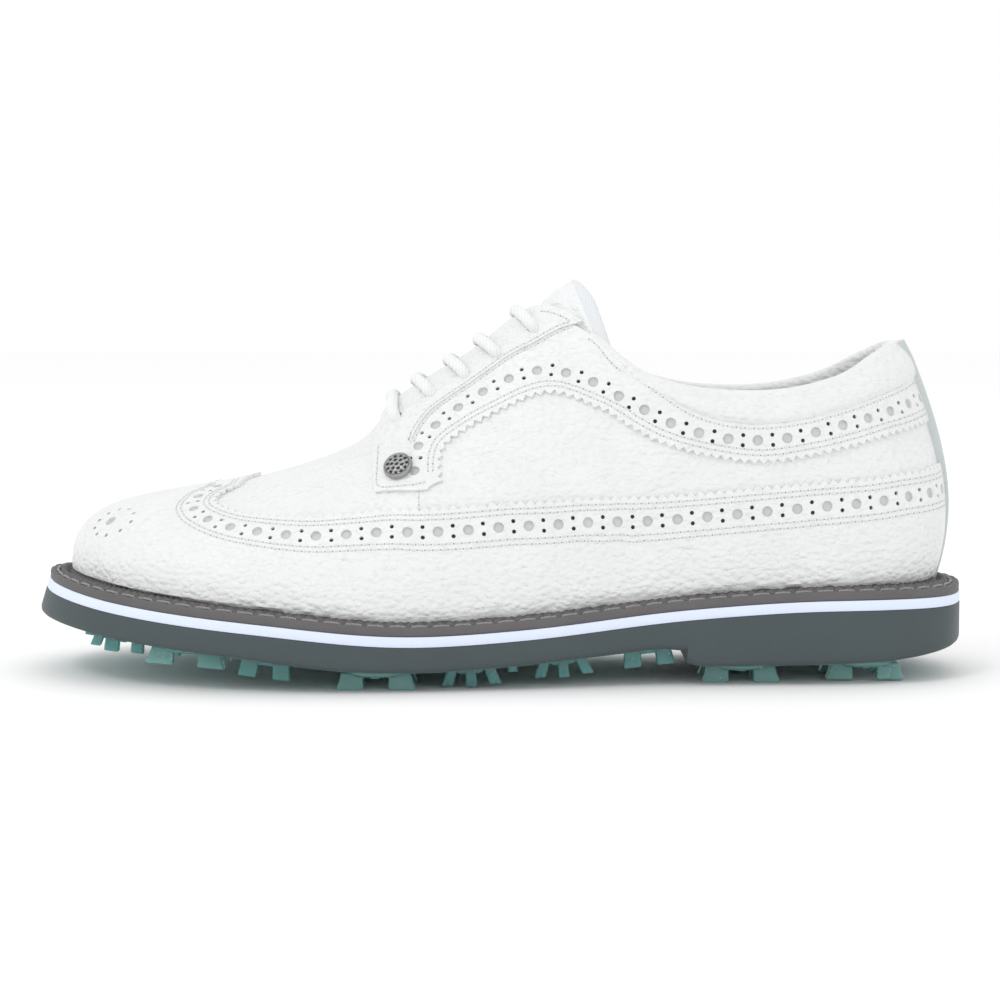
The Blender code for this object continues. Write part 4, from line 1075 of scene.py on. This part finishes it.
def make_cleats():
    """Screw-in cleats: a dished disc, four long legs, four short nubs and a post."""
    for name in CLEAT_NAMES:
        axis = np.array([j["axis"] for j in frame["joints"] if j["name"] == name + "_twist"][0], float)
        up = -axis if axis[2] < 0 else axis
        up = unit(up)
        ahead = unit(np.cross([0.0, 1.0, 0.0], up))
        turn = np.stack([ahead, np.cross(up, ahead), up], 1)
        low, high = (np.array(p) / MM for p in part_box("cleat_" + name))
        seat = np.array([(low[0] + high[0]) / 2, (low[1] + high[1]) / 2, high[2] - POST_HEIGHT])
        parts = [turned(((2.0, -1.7), (7.6, -2.1), (10.6, -1.9), (11.6, -1.2), (11.8, -0.3), (11.4, 0.0),
                         (POST_RADIUS, 0.0), (POST_RADIUS, POST_HEIGHT)), 40, turn, seat)]
        for across, along in ((-1, -1), (1, -1), (1, 1), (-1, 1)):
            outward_dir = np.array([0.0, float(along), 0.0])
            sideways = np.array([float(along), 0.0, 0.0])
            local = turn @ np.stack([sideways, outward_dir, [0.0, 0.0, 1.0]], 1)
            centre = seat + turn @ np.array([7.4 * across, 6.9 * along, -0.9])
            parts.append(leg(centre, local, 7.6, 3.6, CLEAT_HEIGHT - 0.9, lean_out=0.8,
                             lean_side=0.8 * across * along))
        for quarter_turn in range(4):
            a = quarter_turn * math.pi / 2
            outward_dir = np.array([math.cos(a), math.sin(a), 0.0])
            sideways = np.array([-math.sin(a), math.cos(a), 0.0])
            local = turn @ np.stack([sideways, outward_dir, [0.0, 0.0, 1.0]], 1)
            centre = seat + turn @ (outward_dir * 9.6 + np.array([0.0, 0.0, -0.9]))
            parts.append(leg(centre, local, 2.6, 2.0, 1.2, lean_out=0.2))
        cleat = solid("cleat_" + name + "_moulding", parts, CLEAT, "cleat_" + name,
                      sharp=35.0, weld=0.0005)
        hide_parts("cleat_" + name)


LUG_GROUPS = ((-139.5, 1), (-127.5, 4), (-73.5, 2), (-7.0, 3), (6.5, 1), (22.5, 3), (49.0, 2))


# legs of each kind of group: place along the group, width, height, lean
LUG_LEGS = {1: ((0.0, 3.0, 1.8, 0.0),), 2: ((-4.8, 5.6, 5.2, -0.6), (4.8, 5.4, 5.2, 0.6)),
            3: ((-5.6, 3.6, 4.8, -1.8), (0.2, 3.4, 5.4, 0.0), (6.0, 3.6, 4.8, 1.8)),
            4: ((-5.8, 3.2, 3.4, -0.8), (-1.4, 4.6, 4.6, 0.0), (6.6, 4.0, 4.2, 0.3))}


def plate_cut(side_low, side_high, inset, holes, spacing=3.0):
    """Triangles of a plan-view plate between two s values, with round openings."""
    left, _ = edge(-1, np.linspace(side_low, side_high, 90), inset)
    right, _ = edge(1, np.linspace(side_high, side_low, 90), inset)
    loop = np.concatenate([left, right])
    keep = np.linalg.norm(np.roll(loop, -1, 0) - loop, axis=1) > 0.05
    return triangulate(loop[keep], holes, spacing)


def make_plates():
    """The forefoot and heel plates, cut out round the cleats; the forefoot's carries small lugs."""
    s_heel = math.acos(-62.0 * 2 / SOLE_LENGTH) / math.pi
    s_waist = math.acos(-52.0 * 2 / SOLE_LENGTH) / math.pi
    for word, low, high, floor in (
            ("forefoot", 0.045, s_waist, TREAD),
            ("heel", s_heel + 0.012, 0.955, HEEL_FACE)):
        holes = []
        for name in CLEAT_NAMES:
            if name.startswith("heel") == (word == "heel"):
                box_low, box_high = (np.array(p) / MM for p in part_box("cleat_" + name))
                centre = ((box_low + box_high) / 2)[:2]
                angles = 2 * np.pi * np.arange(40) / 40
                holes.append(centre + CLEAT_OPENING * np.stack([np.cos(angles), np.sin(angles)], -1))
        flat, tris = plate_cut(low, high, PLATE_INSET, holes)
        bm = bmesh.new()
        verts = [bm.verts.new((p[0], p[1], curve(floor, p[0]) - PLATE_DROP)) for p in flat]
        for t in tris:
            bm.faces.new([verts[i] for i in reversed(t)])
        bm.normal_update()
        if sum(f.normal.z for f in bm.faces) > 0:
            bmesh.ops.reverse_faces(bm, faces=list(bm.faces))
        thicken(bm, PLATE_THICKNESS)
        if word == "forefoot":
            for points, faces in lug_parts():
                made = [bm.verts.new(p) for p in points]
                for f in faces:
                    bm.faces.new([made[i] for i in f])
        bmesh.ops.recalc_face_normals(bm, faces=bm.faces)
        plate = finish_piece(word + "_plate_moulding", bm, PLATE, sharp=35.0)
        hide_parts(word + "_traction_plate")


def lug_parts():
    """Small splayed legs in groups along both edges of the forefoot plate."""
    parts = []
    for x, count in LUG_GROUPS:
        s = math.acos(-x * 2 / SOLE_LENGTH) / math.pi
        slope = (curve(TREAD, x + 2) - curve(TREAD, x - 2)) / 4
        ahead = unit(np.array([1.0, 0.0, slope]))
        for side in (-1, 1):
            spot, _ = edge(side, s, 10.5)
            across = np.array([0.0, side, 0.0])
            up = np.cross(ahead, np.array([0.0, 1.0, 0.0]))
            turn = np.stack([ahead, across, up], 1)
            root = np.array([spot[0], spot[1], curve(TREAD, spot[0]) - 0.9])
            for along, width, height, lean in LUG_LEGS[count]:
                parts.append(leg(root + ahead * along, turn, width, 3.4, height, lean_side=lean, flare=1.02))
            if count > 1:
                parts.append(leg(root, turn, 9.0, 3.0, 1.3, flare=0.7))
    return parts


# ---- collar, lining and back strip ------------------------------------------------------------
def seam_height(side, xz):
    """The seam's v as a function of u."""
    line = seam_line(side, xz)
    return lambda u: np.interp(u, line[:, 0], line[:, 1])


def collar_profile(side, u, seam_v):
    """Points from the collar seam up the puffed outside, over the roll and down inside."""
    seam_v = min(seam_v, 0.952)
    crescent = float(np.clip((0.952 - seam_v) / 0.10, 0, 1))
    points = []
    top_v, roll = 0.962, 1.2 + 1.3 * float(ramp(11.0, 12.0, u))
    rest = QUARTER_LIFT + 0.15
    for t in np.linspace(0, 1, 9):
        v = seam_v - 0.02 + (top_v - seam_v + 0.02) * t
        lift = 0.9
        if t < 1:
            lift = -0.4 + 1.5 * ramp(0.0, 0.25, t) + 1.5 * crescent * math.sin(math.pi * t)**0.8
        lift = max(lift, rest * float(ramp(0.5, 0.9, 1 - crescent))) if t > 0.1 else lift
        points.append(surface(side, u, v) + outward(side, u, v) * lift)
    base = surface(side, u, top_v)
    normal = outward(side, u, top_v)
    rise = unit(surface(side, u, 1.0) - surface(side, u, 0.93))
    centre = base + normal * (0.9 - roll)
    for angle in np.linspace(0.35, math.pi, 9):
        points.append(centre + normal * roll * math.cos(angle) + rise * roll * 1.15 * math.sin(angle))
    for v in (0.93, 0.90, 0.87):
        inner = surface(side, u, v) - outward(side, u, v) * (2 * roll - 0.9 + 12 * (0.962 - v))
        points.append(inner)
    return np.array(points)


def make_collar():
    rows = {}
    for side in (-1, 1):
        height = seam_height(side, COLLAR_SEAM)
        stations = np.concatenate([np.linspace(11.0, 13.0, 18)[:-1], np.linspace(13.0, LAST, 70)])
        rows[side] = []
        for u in stations:
            seam_v = float(height(u)) if u > 12.0 else 0.96
            rows[side].append(collar_profile(side, u, seam_v))
    rings = rows[-1] + rows[1][::-1][1:]
    parts = ring_mesh(rings, closed_rings=False)
    bm = from_arrays([parts])
    bmesh.ops.recalc_face_normals(bm, faces=bm.faces)
    if outward_sign(bm) < 0:
        bmesh.ops.reverse_faces(bm, faces=list(bm.faces))
    thicken(bm, 0.8)
    collar = finish_piece("collar_leather", bm, LEATHER, sharp=70.0)
    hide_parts("collar_lateral", "collar_medial")


def make_lining():
    """Knit lining, one sheet round the inside from toe to heel."""
    sheets = []
    heights = np.concatenate([np.linspace(0.02, 0.6, 10), np.linspace(0.65, 0.905, 8)])
    rows = {}
    for side in (-1, 1):
        rows[side] = []
        for u in np.linspace(1.2, LAST, 110):
            top_v = 0.86 if u < 11.5 else 0.905
            v = heights * top_v / 0.905
            pad = 2.4 * ramp(12.0, 13.2, u) * ramp(0.62, 0.86, v)
            depth = 5.0 + pad
            rows[side].append(surface(side, u, v) - outward(side, u, v) * depth[:, None])
    rings = rows[-1] + rows[1][::-1][1:]
    sheets.append(ring_mesh(rings, closed_rings=False))
    bm = from_arrays(sheets)
    bmesh.ops.recalc_face_normals(bm, faces=bm.faces)
    if outward_sign(bm) < 0:
        bmesh.ops.reverse_faces(bm, faces=list(bm.faces))
    thicken(bm, 0.7)
    lining = finish_piece("lining_knit", bm, LINING, sharp=70.0)
    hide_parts("lining")


HEEL_ROUND = 0.018               # about 1 / (2 * the heel's radius), so the strip follows its curve
# (across, height) of the strip; its two edges run down into the leather, so that no gap shows
STRIP_PROFILE = ((-5.2, -2.0), (-5.1, 1.6), (-4.3, 2.1), (-3.4, 1.9), (-3.0, 1.35), (-2.6, 1.8), (-1.4, 2.4),
                 (0.0, 2.5), (1.4, 2.4), (2.6, 1.8), (3.0, 1.35), (3.4, 1.9), (4.3, 2.1), (5.1, 1.6),
                 (5.2, -2.0))


def make_back_strip():
    """A narrow rolled strip up the back seam, with a groove along each side."""
    rings = []
    for v in np.linspace(-0.02, 0.985, 60):
        centre = surface(-1, LAST, v)
        normal = outward(-1, LAST, v)
        swell = 1.0 - 0.25 * float(ramp(0.9, 1.0, v))
        flare = 1.0 + 0.35 * float(ramp(0.25, 0.0, v))
        across = np.array([0.0, 1.0, 0.0])
        low = 0.78 + 0.22 * float(ramp(0.0, 0.35, v))
        rings.append([centre + across * y * flare + normal * (h * swell * low - HEEL_ROUND * y * y)
                      for y, h in STRIP_PROFILE])
    strip = solid("back_strip_leather", [ring_mesh(rings, caps=True)], STRIP_LEATHER,
                  sharp=60.0)
    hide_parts("back_strip")


# ---- tongue -----------------------------------------------------------------------------------
# centre line of the outer face: x, z, half width, fall at the sides, how far the sides stay behind
TONGUE_LINE = ((-52.0, 65.5, 14.0, 4.0, 0.0), (-43.0, 71.0, 14.5, 4.5, 0.0), (-34.3, 80.3, 15.0, 5.2, 0.0),
               (-25.9, 88.0, 16.0, 6.4, 0.0), (-6.3, 101.0, 18.0, 9.2, 0.0), (3.1, 110.6, 19.5, 13.5, 1.0),
               (12.5, 118.6, 21.0, 18.5, 4.0), (18.5, 124.2, 21.8, 20.5, 8.0),
               (24.2, 127.9, 22.0, 21.0, 12.0))
TONGUE_PAD = 4.4
# directions of the tongue's shape: the way its sides fall off and the way up its free end
TONGUE_FALL = np.array([0.77, 0.0, -0.64])       # the way the sides fall off
TONGUE_RISE = np.array([0.62, 0.0, 0.78])        # up the free end


def tongue_row(t):
    steps = np.arange(len(TONGUE_LINE))
    return [float(hermite(steps, [k[i] for k in TONGUE_LINE], t)) for i in range(5)]


def tongue_surface(t, a):
    """Outer face of the tongue: t along it, a across from -1 to 1."""
    x, z, half, fall, trail = tongue_row(t)
    bend = (a * a + 0.004)**0.8
    return (np.array([x, float(middle_y(x)) + a * half, z]) + TONGUE_FALL * fall * bend
            - TONGUE_RISE * trail * abs(a)**1.7)


def tongue_normal(t, a):
    du = tongue_surface(t + 0.03, a) - tongue_surface(t - 0.03, a)
    dv = tongue_surface(t, min(a + 0.02, 1)) - tongue_surface(t, max(a - 0.02, -1))
    normal = unit(np.cross(du, dv))
    return normal if normal[2] > 0 or normal[0] < 0 else -normal


def make_tongue():
    """A padded arch under the facings that stands up past them, its rim bound in grey knit."""
    last = len(TONGUE_LINE) - 1.0
    across = np.linspace(-1, 1, 33)
    faces_out, faces_in = [], []
    stations = np.concatenate([np.linspace(0, 6, 25)[:-1], np.linspace(6, last, 22)])
    for t in stations:
        out_row, in_row = [], []
        for a in across:
            p, n = tongue_surface(t, a), tongue_normal(t, a)
            puff = 0.5 * float(ramp(5.6, 6.6, t)) * (1 - a * a)
            wave = 0.25 * math.sin(9 * t + 4 * a) * math.sin(7 * a + 2 * t) * float(ramp(5.5, 6.5, t))
            thick = TONGUE_PAD * (0.75 + 0.25 * float(ramp(5.0, 7.0, t)))
            out_row.append(p + n * (puff + wave))
            in_row.append(p - n * thick)
        faces_out.append(np.array(out_row))
        faces_in.append(np.array(in_row))
    rings = []
    for out_row, in_row in zip(faces_out, faces_in):
        rings.append(rim_ring(out_row, in_row))
    end_out, end_in = faces_out[-1], faces_in[-1]
    middle = (end_out + end_in) / 2
    spread = np.abs(across)[:, None]
    push_dir = unit(0.6 * TONGUE_RISE + 0.8 * spread * TONGUE_FALL)
    reach = 0.35 + 0.65 * np.minimum(spread * 2.2, 1.0)
    for push, keep in ((2.0, 0.94), (3.5, 0.72), (4.3, 0.36)):
        shift_by = push_dir * reach * push
        rings.append(rim_ring(middle + (end_out - middle) * keep + shift_by,
                              middle + (end_in - middle) * keep + shift_by))
    points, faces = ring_mesh(rings)
    width, columns = len(rings[0]), len(across)
    leather_end = (len(rings) - 4) * width
    tags = [int(not (i % width < columns or i % width == width - 1) or i >= leather_end)
            for i in range(len(faces))]
    for base in (0, (len(rings) - 1) * width):
        strip = [base + j for j in range(columns)]
        back = [base + width - 4 - j for j in range(columns)]
        for j in range(columns - 1):
            faces.append((strip[j], strip[j + 1], back[j + 1], back[j]))
            tags.append(1)
        for side_face in (tuple(range(columns - 1, columns + 4)), (0, *range(width - 1, width - 5, -1))):
            faces.append(tuple(base + k for k in side_face))
            tags.append(1)
    tongue = solid("tongue_padded", [(points, faces, tags)], TONGUE_LEATHER, sharp=80.0,
                   place=False)
    tongue.data.materials.append(TONGUE_EDGE)
    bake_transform(tongue)
    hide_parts("tongue_base", "tongue_top")


def rim_ring(out_row, in_row):
    """A ring across the tongue: outer face, round edge, inner face, round edge."""
    ring = list(out_row)
    for row_a, row_b, at in ((out_row, in_row, -1), (in_row, out_row, 0)):
        a, b = row_a[at], row_b[at]
        middle = (a + b) / 2
        reach = np.linalg.norm(a - b) / 2
        sideways = unit(out_row[-1] - out_row[-2]) if at == -1 else unit(out_row[0] - out_row[1])
        for angle in (0.25, 0.5, 0.75):
            w = math.pi * angle
            ring.append(middle + (a - middle) * math.cos(w) + sideways * reach * math.sin(w) * 0.9)
        if at == -1:
            ring += list(in_row[::-1])
    return np.array(ring)


# ---- lace, stud and small fittings ------------------------------------------------------------
def eyelet(side, number):
    uv = eyelet_uv(side, number)
    return surface(side, *uv), outward(side, *uv)


def lace_route():
    """The CAD's route: straight bars over the facings, joined by runs under them."""
    over, under = LACE_RADIUS + 1.3, 1.5 + 0.7 + LACE_RADIUS + 0.5

    def hole(side, i):
        point, normal = eyelet(side, i)
        return point + normal * over, point - normal * under

    def bar(i, side):
        top_a, under_a = hole(side, i)
        top_b, under_b = hole(-side, i)
        rib = EYELETS[i][0] - EYELETS[i][2]
        edge_a = surface(side, rib, 1.0) + outward(side, rib, 1.0) * over
        edge_b = surface(-side, rib, 1.0) + outward(-side, rib, 1.0) * over
        middle = (edge_a + edge_b) / 2 + np.array([-0.9, 0.0, -0.4])
        return [under_a, top_a, edge_a, middle, edge_b, top_b, under_b]

    up_left = bar(1, -1) + bar(3, 1)
    return np.array(list(reversed(up_left)) + bar(0, -1) + bar(2, 1) + bar(4, -1))


def make_lace():
    route = lace_route()
    places = np.concatenate([[0], np.cumsum(np.maximum(np.linalg.norm(np.diff(route, axis=0), axis=1), 0.5))])
    t = np.linspace(0, places[-1], int(places[-1] / 0.9))
    path = np.stack([hermite(places, route[:, k], t) for k in range(3)], -1)
    lace = solid("shoelace_braid", [tube(path, LACE_RADIUS * 1.05, 14)], LACE, sharp=60.0)
    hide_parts("shoelace")


def make_stud():
    """A domed stud with plain golf-ball dimples in place of its maker's crest."""
    low, high = (np.array(p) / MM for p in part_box("facing_stud"))
    uv = find(-1, ((float((low[0] + high[0]) / 2), float((low[2] + high[2]) / 2)),))[0]
    centre, normal = surface(-1, *uv), outward(-1, *uv)
    ahead = unit(np.cross(normal, [0.0, 0.0, 1.0]))
    turn = np.stack([ahead, np.cross(normal, ahead), normal], 1)
    radius = 4.7
    spots = [(0.0, 0.0)]
    for ring, count in ((1.75, 6), (3.2, 11)):
        spots += [(ring * math.cos(2 * math.pi * k / count), ring * math.sin(2 * math.pi * k / count))
                  for k in range(count)]
    spots = np.array(spots)
    rings = []
    rim = ((0.25, 0.3), (radius, 0.4), (radius + 0.05, 1.0), (radius - 0.15, 1.75), (radius - 0.55, 1.95),
           (radius - 0.8, 1.7))
    angles = 2 * np.pi * np.arange(72) / 72
    for r, z in rim:
        rings.append(np.stack([r * np.cos(angles), r * np.sin(angles), np.full(72, z)], -1))
    for r in np.linspace(radius - 0.95, 0.05, 26):
        x, y = r * np.cos(angles), r * np.sin(angles)
        near = np.sqrt((x[:, None] - spots[None, :, 0])**2 + (y[:, None] - spots[None, :, 1])**2).min(1)
        dome = 1.7 + 0.75 * math.cos(r / radius * 1.4)
        dent = 0.42 * ramp(0.78, 0.45, near)
        rings.append(np.stack([x, y, dome - dent], -1))
    rings = [r @ turn.T + centre + normal * (QUARTER_LIFT - 0.1) for r in rings]
    stud = solid("stud_dimpled", [ring_mesh(rings, caps=True)], STEEL, sharp=50.0)
    # the dimple faces get painted shade
    stud.data.materials.append(SHADOW)
    inverse = turn.T
    for face in stud.data.polygons:
        local = inverse @ (np.array(face.center) / MM - centre)
        near = np.sqrt(((spots - local[:2])**2).sum(1)).min()
        if near < 0.52 and local[2] > 1.0:
            face.material_index = 1
    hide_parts("facing_stud")


def make_hole_painted_shade():
    """Painted shade in the punched holes: grey plugs in the large ones, for the backing leather in shade, and
    dark plugs in the small ones.
    """
    large = [hole for hole in HOLE_PLUGS_PAINTED_SHADE if len(hole[1]) > SMALL_HOLE_SIDES]
    small = [hole for hole in HOLE_PLUGS_PAINTED_SHADE if len(hole[1]) <= SMALL_HOLE_SIDES]
    painted_shade_plugs("brogue_painted_shade_grey", large, HOLE_GREY_PAINTED_SHADE)
    painted_shade_plugs("brogue_shade", small, HOLE_SHADE)


def painted_shade_plugs(name, holes, look):
    """One thin plug of painted shade behind each hole, a little wider than it."""
    bm = bmesh.new()
    for side, loop, level in holes:
        middle = loop.mean(0)
        p = surface(side, loop[:, 0], loop[:, 1]) + outward(side, loop[:, 0], loop[:, 1]) * level
        c = surface(side, *middle) + outward(side, *middle) * level
        p = c + (p - c) * 1.12
        low = p - outward(side, *middle) * 0.15
        top = [bm.verts.new(q) for q in p]
        base = [bm.verts.new(q) for q in low]
        bm.faces.new(top)
        bm.faces.new(list(reversed(base)))
        for i in range(len(top)):
            j = (i + 1) % len(top)
            bm.faces.new((top[i], base[i], base[j], top[j]))
    bmesh.ops.recalc_face_normals(bm, faces=bm.faces)
    finish_piece(name, bm, look)


def make_needle_hole_painted_shade():
    """Painted shade for the needle holes: grey discs between the stitches of every leather seam."""
    parts = []
    angles = 2 * np.pi * np.arange(6) / 6
    for spots, normals, gap in NEEDLE_HOLES:
        size = min(0.30, gap * 0.42)
        side = unit(np.cross(normals, [0.2, 0.5, 0.84]))
        other = np.cross(normals, side)
        for p, n, a, b in zip(spots, normals, side, other):
            ring = np.cos(angles)[:, None] * a + np.sin(angles)[:, None] * b
            parts.append(ring_mesh([p - n * 0.15 + ring * size * 0.8, p + n * 0.03 + ring * size], caps=True))
    solid("needle_hole_painted_shade", parts, NEEDLE_HOLE_PAINTED_SHADE, weld=0.0001)


make_outsole()
make_midsole()
make_welt()
make_sockliner()
make_cleats()
make_plates()
make_collar()
make_lining()
make_back_strip()
make_tongue()
make_lace()
make_stud()
make_hole_painted_shade()
make_needle_hole_painted_shade()


# ---- camera, floor and light ------------------------------------------------------------------
def make_stage():
    """A pale floor, soft light from above and in front, and the camera at the viewing angle."""
    scene = bpy.context.scene
    floor_mesh = bpy.data.meshes.new("floor")
    floor_mesh.from_pydata([(-6, -6, 0), (6, -6, 0), (6, 6, 0), (-6, 6, 0)], [], [(0, 1, 2, 3)])
    floor = bpy.data.objects.new("floor", floor_mesh)
    scene.collection.objects.link(floor)
    look, _, _ = shader("pale floor", (0.985, 0.985, 0.985), 0.9)
    floor_mesh.materials.append(look)
    world = bpy.data.worlds.new("studio")
    scene.world = world
    world.use_nodes = True
    sky = world.node_tree.nodes["Background"]
    sky.inputs["Color"].default_value = (1.0, 1.0, 1.0, 1.0)
    sky.inputs["Strength"].default_value = 1.0
    scene.view_settings.view_transform = "Standard"
    for name, place, aim, size, power in (
            ("key", (-0.8, -1.0, 1.5), (0, 0, 0.05), 0.5, 6.0),
            ("fill", (1.3, -1.1, 0.8), (0, 0, 0.05), 1.2, 1.2),
            ("back", (0.2, 1.4, 1.5), (0, 0, 0.05), 1.6, 1.5)):
        data = bpy.data.lights.new(name, "AREA")
        data.size = size
        data.energy = power
        lamp = bpy.data.objects.new(name, data)
        lamp.location = place
        lamp.rotation_euler = (Vector(aim) - Vector(place)).to_track_quat("-Z", "Y").to_euler()
        scene.collection.objects.link(lamp)
    data = bpy.data.cameras.new("camera")
    data.lens = 81.9
    data.clip_start = 0.01
    camera = bpy.data.objects.new("camera", data)
    camera.location = (0.0009, -0.75, 0.118)
    aim = Vector((0.0009, 0.0, 0.0560))
    camera.rotation_euler = (aim - camera.location).to_track_quat("-Z", "Y").to_euler()
    scene.collection.objects.link(camera)
    scene.camera = camera


make_stage()
